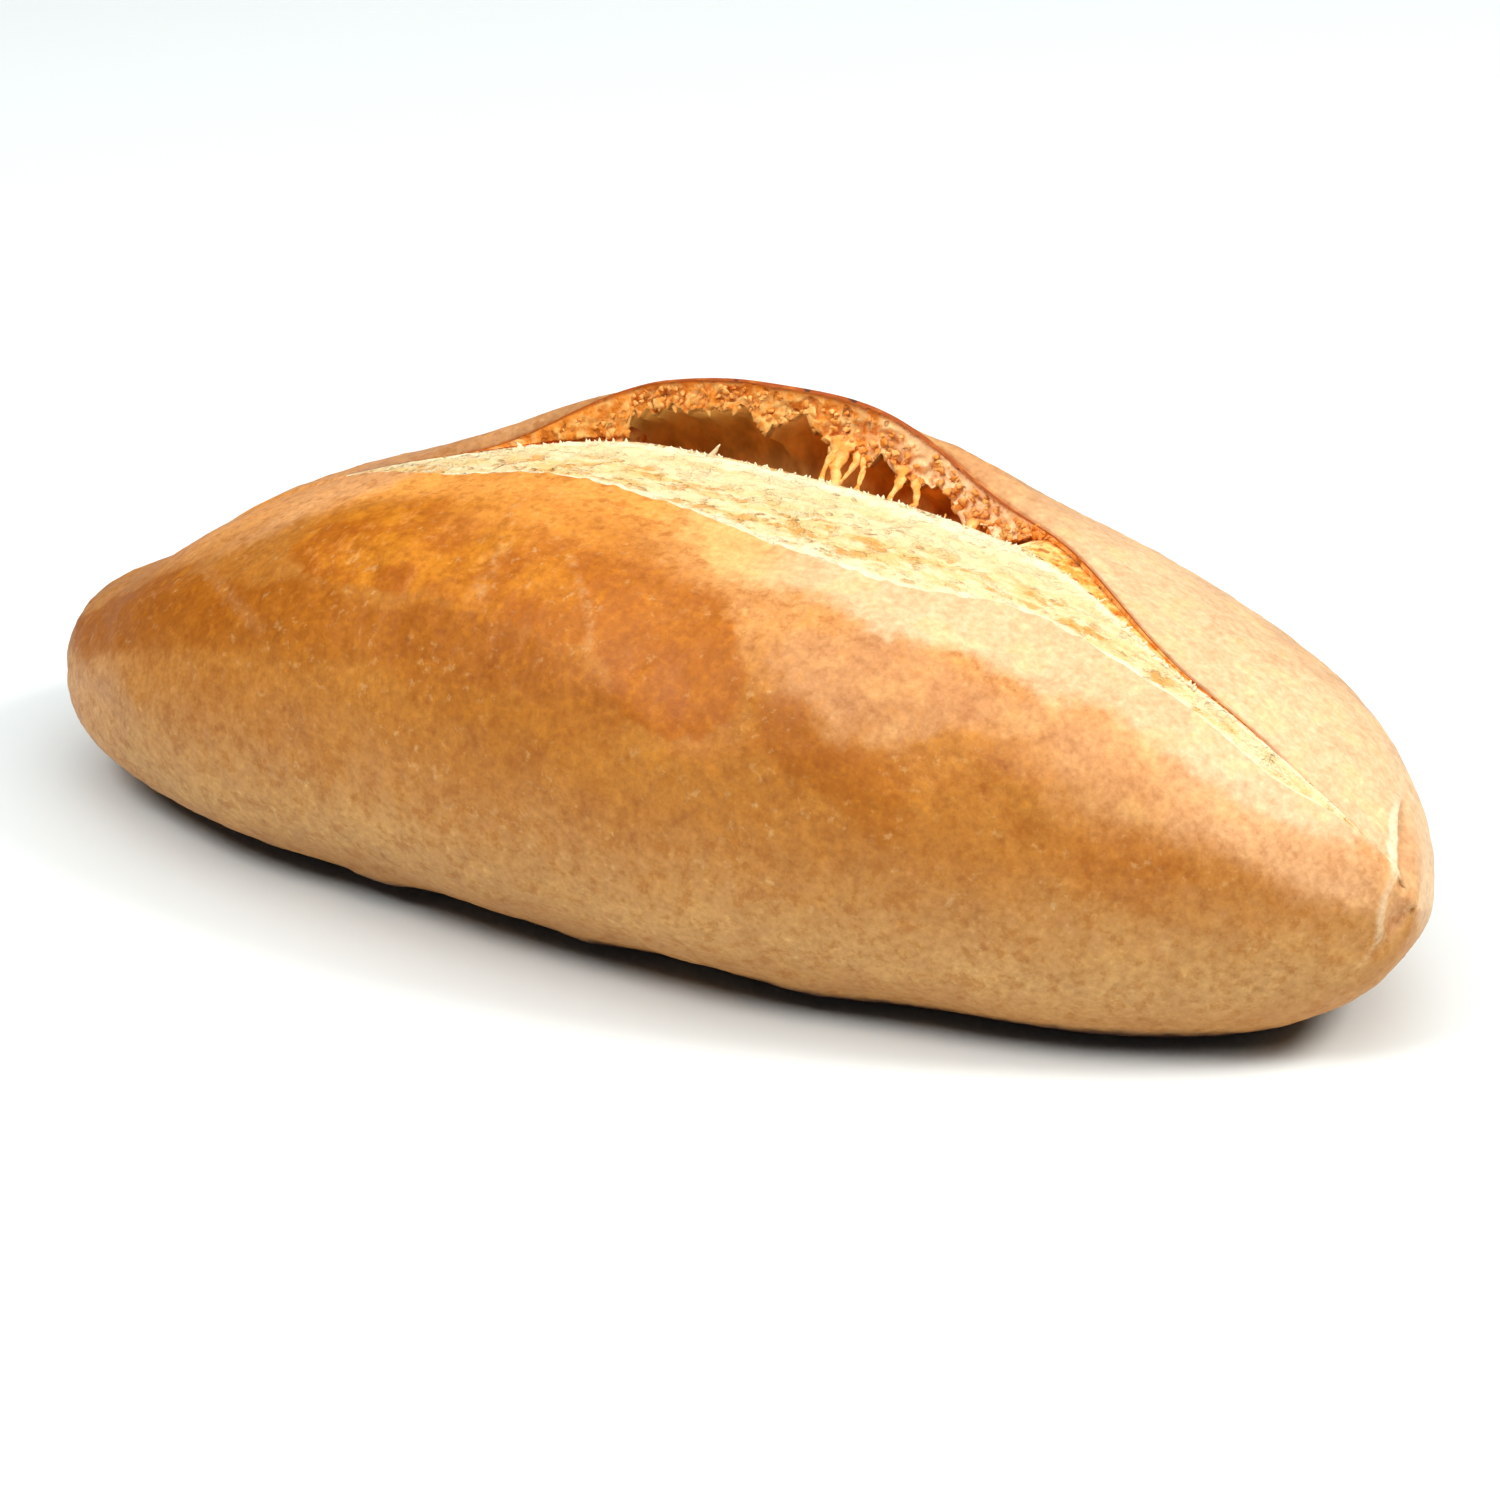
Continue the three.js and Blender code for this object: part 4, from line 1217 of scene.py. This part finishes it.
class BREAD_OT_loaf(bpy.types.Operator):
    """Build the loaf: crust, pale face, hollow, ear and rim in one closed mesh"""
    bl_idname = "bread.loaf"
    bl_label = "Build Loaf"

    def execute(self, context):
        sizes, cut = sizes_in_mm()
        x, points, stretch, attributes, e = loaf_surface(sizes, cut)
        n, k = points.shape[:2]
        own = np.arange(n * k).reshape(n, k)
        nxt = np.roll(own, -1, axis=1)
        left_tip, right_tip = n * k, n * k + 1
        faces = np.stack([own[:-1], own[1:], nxt[1:], nxt[:-1]], -1).reshape(-1, 4).tolist()
        faces += [(left_tip, a, b) for a, b in zip(own[0], nxt[0])]
        faces += [(a, right_tip, b) for a, b in zip(own[-1], nxt[-1])]

        # The ear's crumb closes the hollow's ends, and crust covers what lies beyond the slash
        x = x[:-1, None]
        crust, ear_crumb = MATERIAL_OF_STRETCH[[0, 3]]
        closed = (e["hollow"][:-1, None] < 0.5) & (stretch == 2)
        uncut = (x < PALE_FACE_SPAN[0][0]) | (x > RIM_STOPS[1]) & (stretch >= 2)
        material_of = np.where(closed, ear_crumb, MATERIAL_OF_STRETCH[stretch])
        material_of = np.where(uncut, crust, material_of)
        material_of = np.append(material_of, np.full(2 * k, crust))

        ends = np.array([-1, 1]) * sizes.half_length
        waists = Loaf(sizes, cut).body(ends)[4]
        tips = np.column_stack([ends, np.zeros(2), waists])
        verts = placed(np.concatenate([points.reshape(-1, 3), tips]))
        values = {key: np.append(v.ravel(), v[[0, -1], 0]) for key, v in attributes.items()}
        makers = (crust_finish, pale_face_finish, hollow_finish, ear_crumb_finish, rim_finish)
        finishes = [maker(context.scene.roll_colours) for maker in makers]
        piece = mesh_piece("loaf", verts, faces, finishes, material_of, values)
        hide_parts(NODE)
        return {"FINISHED"}


class BREAD_OT_strands(bpy.types.Operator):
    """Build the crumb strands and webs that cross the hollow"""
    bl_idname = "bread.strands"
    bl_label = "Build Strands"

    @staticmethod
    def strand(loaf, number, low_x, high_x, reach, low_w, mid_w, high_w):
        """One strand from the pale face up to the torn edge, or part of the way."""
        low = loaf.edges(np.array([low_x]))["tear_at"][0]
        high = loaf.edges(np.array([high_x]))["torn_at"][0]
        start = np.array([low_x, low[0] - 0.7, low[1] - 1.1])
        run = (np.array([high_x, high[0] + 0.5, high[1] + 0.8]) - start) * reach
        t = np.linspace(0, 1, 17)
        path = start + run * t[:, None]
        span = np.linalg.norm(run)
        path[:, 2] -= STRAND_SAG * span * np.sin(np.pi * t)
        path[:, 0] += STRAND_SWAY * span * np.sin(2 * np.pi * t + number * STRAND_TURN)
        widths = (low_w, low_w * 0.7, mid_w, high_w * 0.7, high_w)
        wide = np.interp(t, (0, 0.18, 0.55, 0.85, 1), widths)
        return sleeve(path, wide, np.minimum(wide, 0.16 + 0.35 * wide), 10, 0.55, number)

    @staticmethod
    def web(loaf, number, from_x, to_x, down):
        """One thin web under the torn edge, deepest at its two sides."""
        t = np.linspace(0, 1, 15)
        x = from_x + (to_x - from_x) * t
        e = loaf.edges(x)
        torn, tear = e["torn_at"], e["tear_at"]
        part = down * (0.35 + 0.65 * (2 * t - 1) ** 2)
        part = part * np.sin(np.pi * np.clip(t, 0.04, 0.96)) ** 0.3
        half = (torn[:, 1] - tear[:, 1]) * part / 2
        path = np.column_stack([x, torn[:, 0] + 0.35, torn[:, 1] + 0.5 - half])
        return sleeve(path, np.full(15, WEB_HALF_WIDTH), half + 0.5, 10, 0.3, 40 + number)

    def execute(self, context):
        loaf = Loaf(*sizes_in_mm())
        parts = [self.strand(loaf, i, *row) for i, row in enumerate(STRANDS)]
        parts += [self.web(loaf, i, *row) for i, row in enumerate(WEBS)]
        points, faces = merge(parts)
        finish = strand_finish(context.scene.roll_colours)
        mesh_piece("crumb_strands", placed(points), faces, [finish])
        return {"FINISHED"}


class BREAD_OT_shreds(bpy.types.Operator):
    """Build the shreds along the torn edge and the flakes on the pale face's edge"""
    bl_idname = "bread.shreds"
    bl_label = "Build Shreds"

    @staticmethod
    def shred(loaf, draw, x):
        """One shred that hangs from the ear's inner face, most often near the torn edge."""
        e = loaf.edges(np.array([x]))
        torn, rim = e["torn_at"][0], e["rim_at"][0]
        level = draw.beta(1, 1.5)
        at = torn + (rim - torn) * level * 0.85
        size = draw.uniform(0.1, 0.3) * (1.2 - 0.4 * level)
        hang = size * draw.uniform(1.0, 3.2) * (1.2 - 0.8 * level)
        reach = (draw.normal(0, 0.35), -draw.uniform(0.1, 0.6), -hang)
        start = np.array([x, at[0] + 0.25, at[1] + 0.15])
        widths = size * SHRED_WIDTHS * draw.uniform(0.7, 1.9)
        return short_sleeve(start, reach, widths, 0.6, 7, 0.35, int(x * 10))

    @staticmethod
    def flake(loaf, draw, x):
        """One flake that stands up from the edge of the pale face."""
        tear = loaf.edges(np.array([x]))["tear_at"][0]
        start = np.array([x, tear[0] - 0.35, tear[1] - 0.3])
        reach = (draw.normal(0, 0.35), draw.uniform(0, 0.4), draw.uniform(0.3, 0.7))
        widths = draw.uniform(0.12, 0.36) * FLAKE_WIDTHS
        return short_sleeve(start, reach, widths, 0.6, 6, 0.3, int(x * 10))

    def execute(self, context):
        loaf = Loaf(*sizes_in_mm())
        colours = context.scene.roll_colours
        draw = np.random.default_rng(SHRED_SEED)
        places = np.sort(draw.uniform(*SHRED_X, SHRED_COUNT))
        points, faces = merge([self.shred(loaf, draw, x) for x in places])
        mesh_piece("ear_shreds", placed(points), faces, [shred_finish(colours)])

        places = draw.uniform(*FLAKE_X, FLAKE_COUNT)
        flakes = [self.flake(loaf, draw, x) for x in places]
        tear = loaf.edges(np.array([TALL_FLAKE_X]))["tear_at"][0]
        start = np.array([TALL_FLAKE_X, tear[0] - 0.4, tear[1] - 0.3])
        flakes.append(short_sleeve(start, TALL_FLAKE_REACH, TALL_FLAKE_WIDTHS, 0.7, 7, 0.3, 5))
        points, faces = merge(flakes)
        mesh_piece("lip_flakes", placed(points), faces, [flake_finish(colours)])
        return {"FINISHED"}


def area_light(name, place, aim, size, power, tint):
    """A round soft light that looks from its place at its aim."""
    data = bpy.data.lights.new(name, "AREA")
    data.shape = "DISK"
    data.size = size
    data.energy = power
    data.color = tint
    light = bpy.data.objects.new(name, data)
    light.location = place
    light.rotation_euler = (Vector(aim) - Vector(place)).to_track_quat("-Z", "Y").to_euler()
    bpy.context.scene.collection.objects.link(light)


class BREAD_OT_stage(bpy.types.Operator):
    """Build the floor, the lights and the camera"""
    bl_idname = "bread.stage"
    bl_label = "Build Stage"

    def execute(self, context):
        scene = context.scene
        stage = scene.stage_sizes
        mesh = bpy.data.meshes.new("floor")
        corners = ((-1, -1), (1, -1), (1, 1), (-1, 1))
        mesh.from_pydata([(x * FLOOR_HALF, y * FLOOR_HALF, 0) for x, y in corners],
                         [], [(0, 1, 2, 3)])
        mesh.materials.append(floor_finish(scene.roll_colours))
        floor = bpy.data.objects.new("floor", mesh)
        floor.location.z = -FLOOR_DROP
        scene.collection.objects.link(floor)

        for name, place, aim_height, size, power, tint in LIGHTS:
            area_light(name, place, (0, 0, aim_height), size, getattr(stage, power), tint)
        world = bpy.data.worlds.new("even_light")
        world.use_nodes = True
        background = world.node_tree.nodes["Background"]
        background.inputs["Color"].default_value = SKY_TINT
        background.inputs["Strength"].default_value = stage.sky
        scene.world = world
        scene.view_settings.view_transform = "Standard"

        a, e = stage.azimuth, stage.elevation
        back = Vector((math.sin(a) * math.cos(e), -math.cos(a) * math.cos(e), math.sin(e)))
        right = Vector((math.cos(a), math.sin(a), 0))
        up = back.cross(right)
        middle = Vector(placed((0, 0, stage.aim_height / MM)) * MM)
        data = bpy.data.cameras.new("camera")
        data.lens = stage.lens
        data.sensor_width = SENSOR_WIDTH
        camera = bpy.data.objects.new("camera", data)
        camera.location = middle + back * stage.distance
        aim = middle + right * stage.aim_right - up * stage.aim_down
        camera.rotation_euler = (aim - camera.location).to_track_quat("-Z", "Y").to_euler()
        scene.collection.objects.link(camera)
        scene.camera = camera
        return {"FINISHED"}


class BREAD_PT_roll(bpy.types.Panel):
    """The roll's operators, with the sizes and colours that they use"""
    bl_idname = "BREAD_PT_roll"
    bl_label = "Bread Roll"
    bl_space_type = "VIEW_3D"
    bl_region_type = "UI"
    bl_category = "Bread"

    def draw(self, context):
        for operator in OPERATORS:
            self.layout.operator(operator.bl_idname)
        for name in GROUPS:
            group = getattr(context.scene, name)
            box = self.layout.box()
            for key in group.bl_rna.properties.keys():
                if key not in {"rna_type", "name"}:
                    box.prop(group, key)


GROUPS = {"loaf_sizes": LoafSizes, "slash_sizes": SlashSizes, "roll_colours": RollColours,
          "stage_sizes": StageSizes}
OPERATORS = (BREAD_OT_loaf, BREAD_OT_strands, BREAD_OT_shreds, BREAD_OT_stage)
CLASSES = (*GROUPS.values(), *OPERATORS, BREAD_PT_roll)


def register():
    for cls in CLASSES:
        bpy.utils.register_class(cls)
    for name, group in GROUPS.items():
        setattr(bpy.types.Scene, name, PointerProperty(type=group))


def unregister():
    for name in GROUPS:
        delattr(bpy.types.Scene, name)
    for cls in reversed(CLASSES):
        bpy.utils.unregister_class(cls)


def main():
    register()
    bpy.ops.bread.loaf()
    bpy.ops.bread.strands()
    bpy.ops.bread.shreds()
    bpy.ops.bread.stage()


if __name__ == "__main__":
    main()
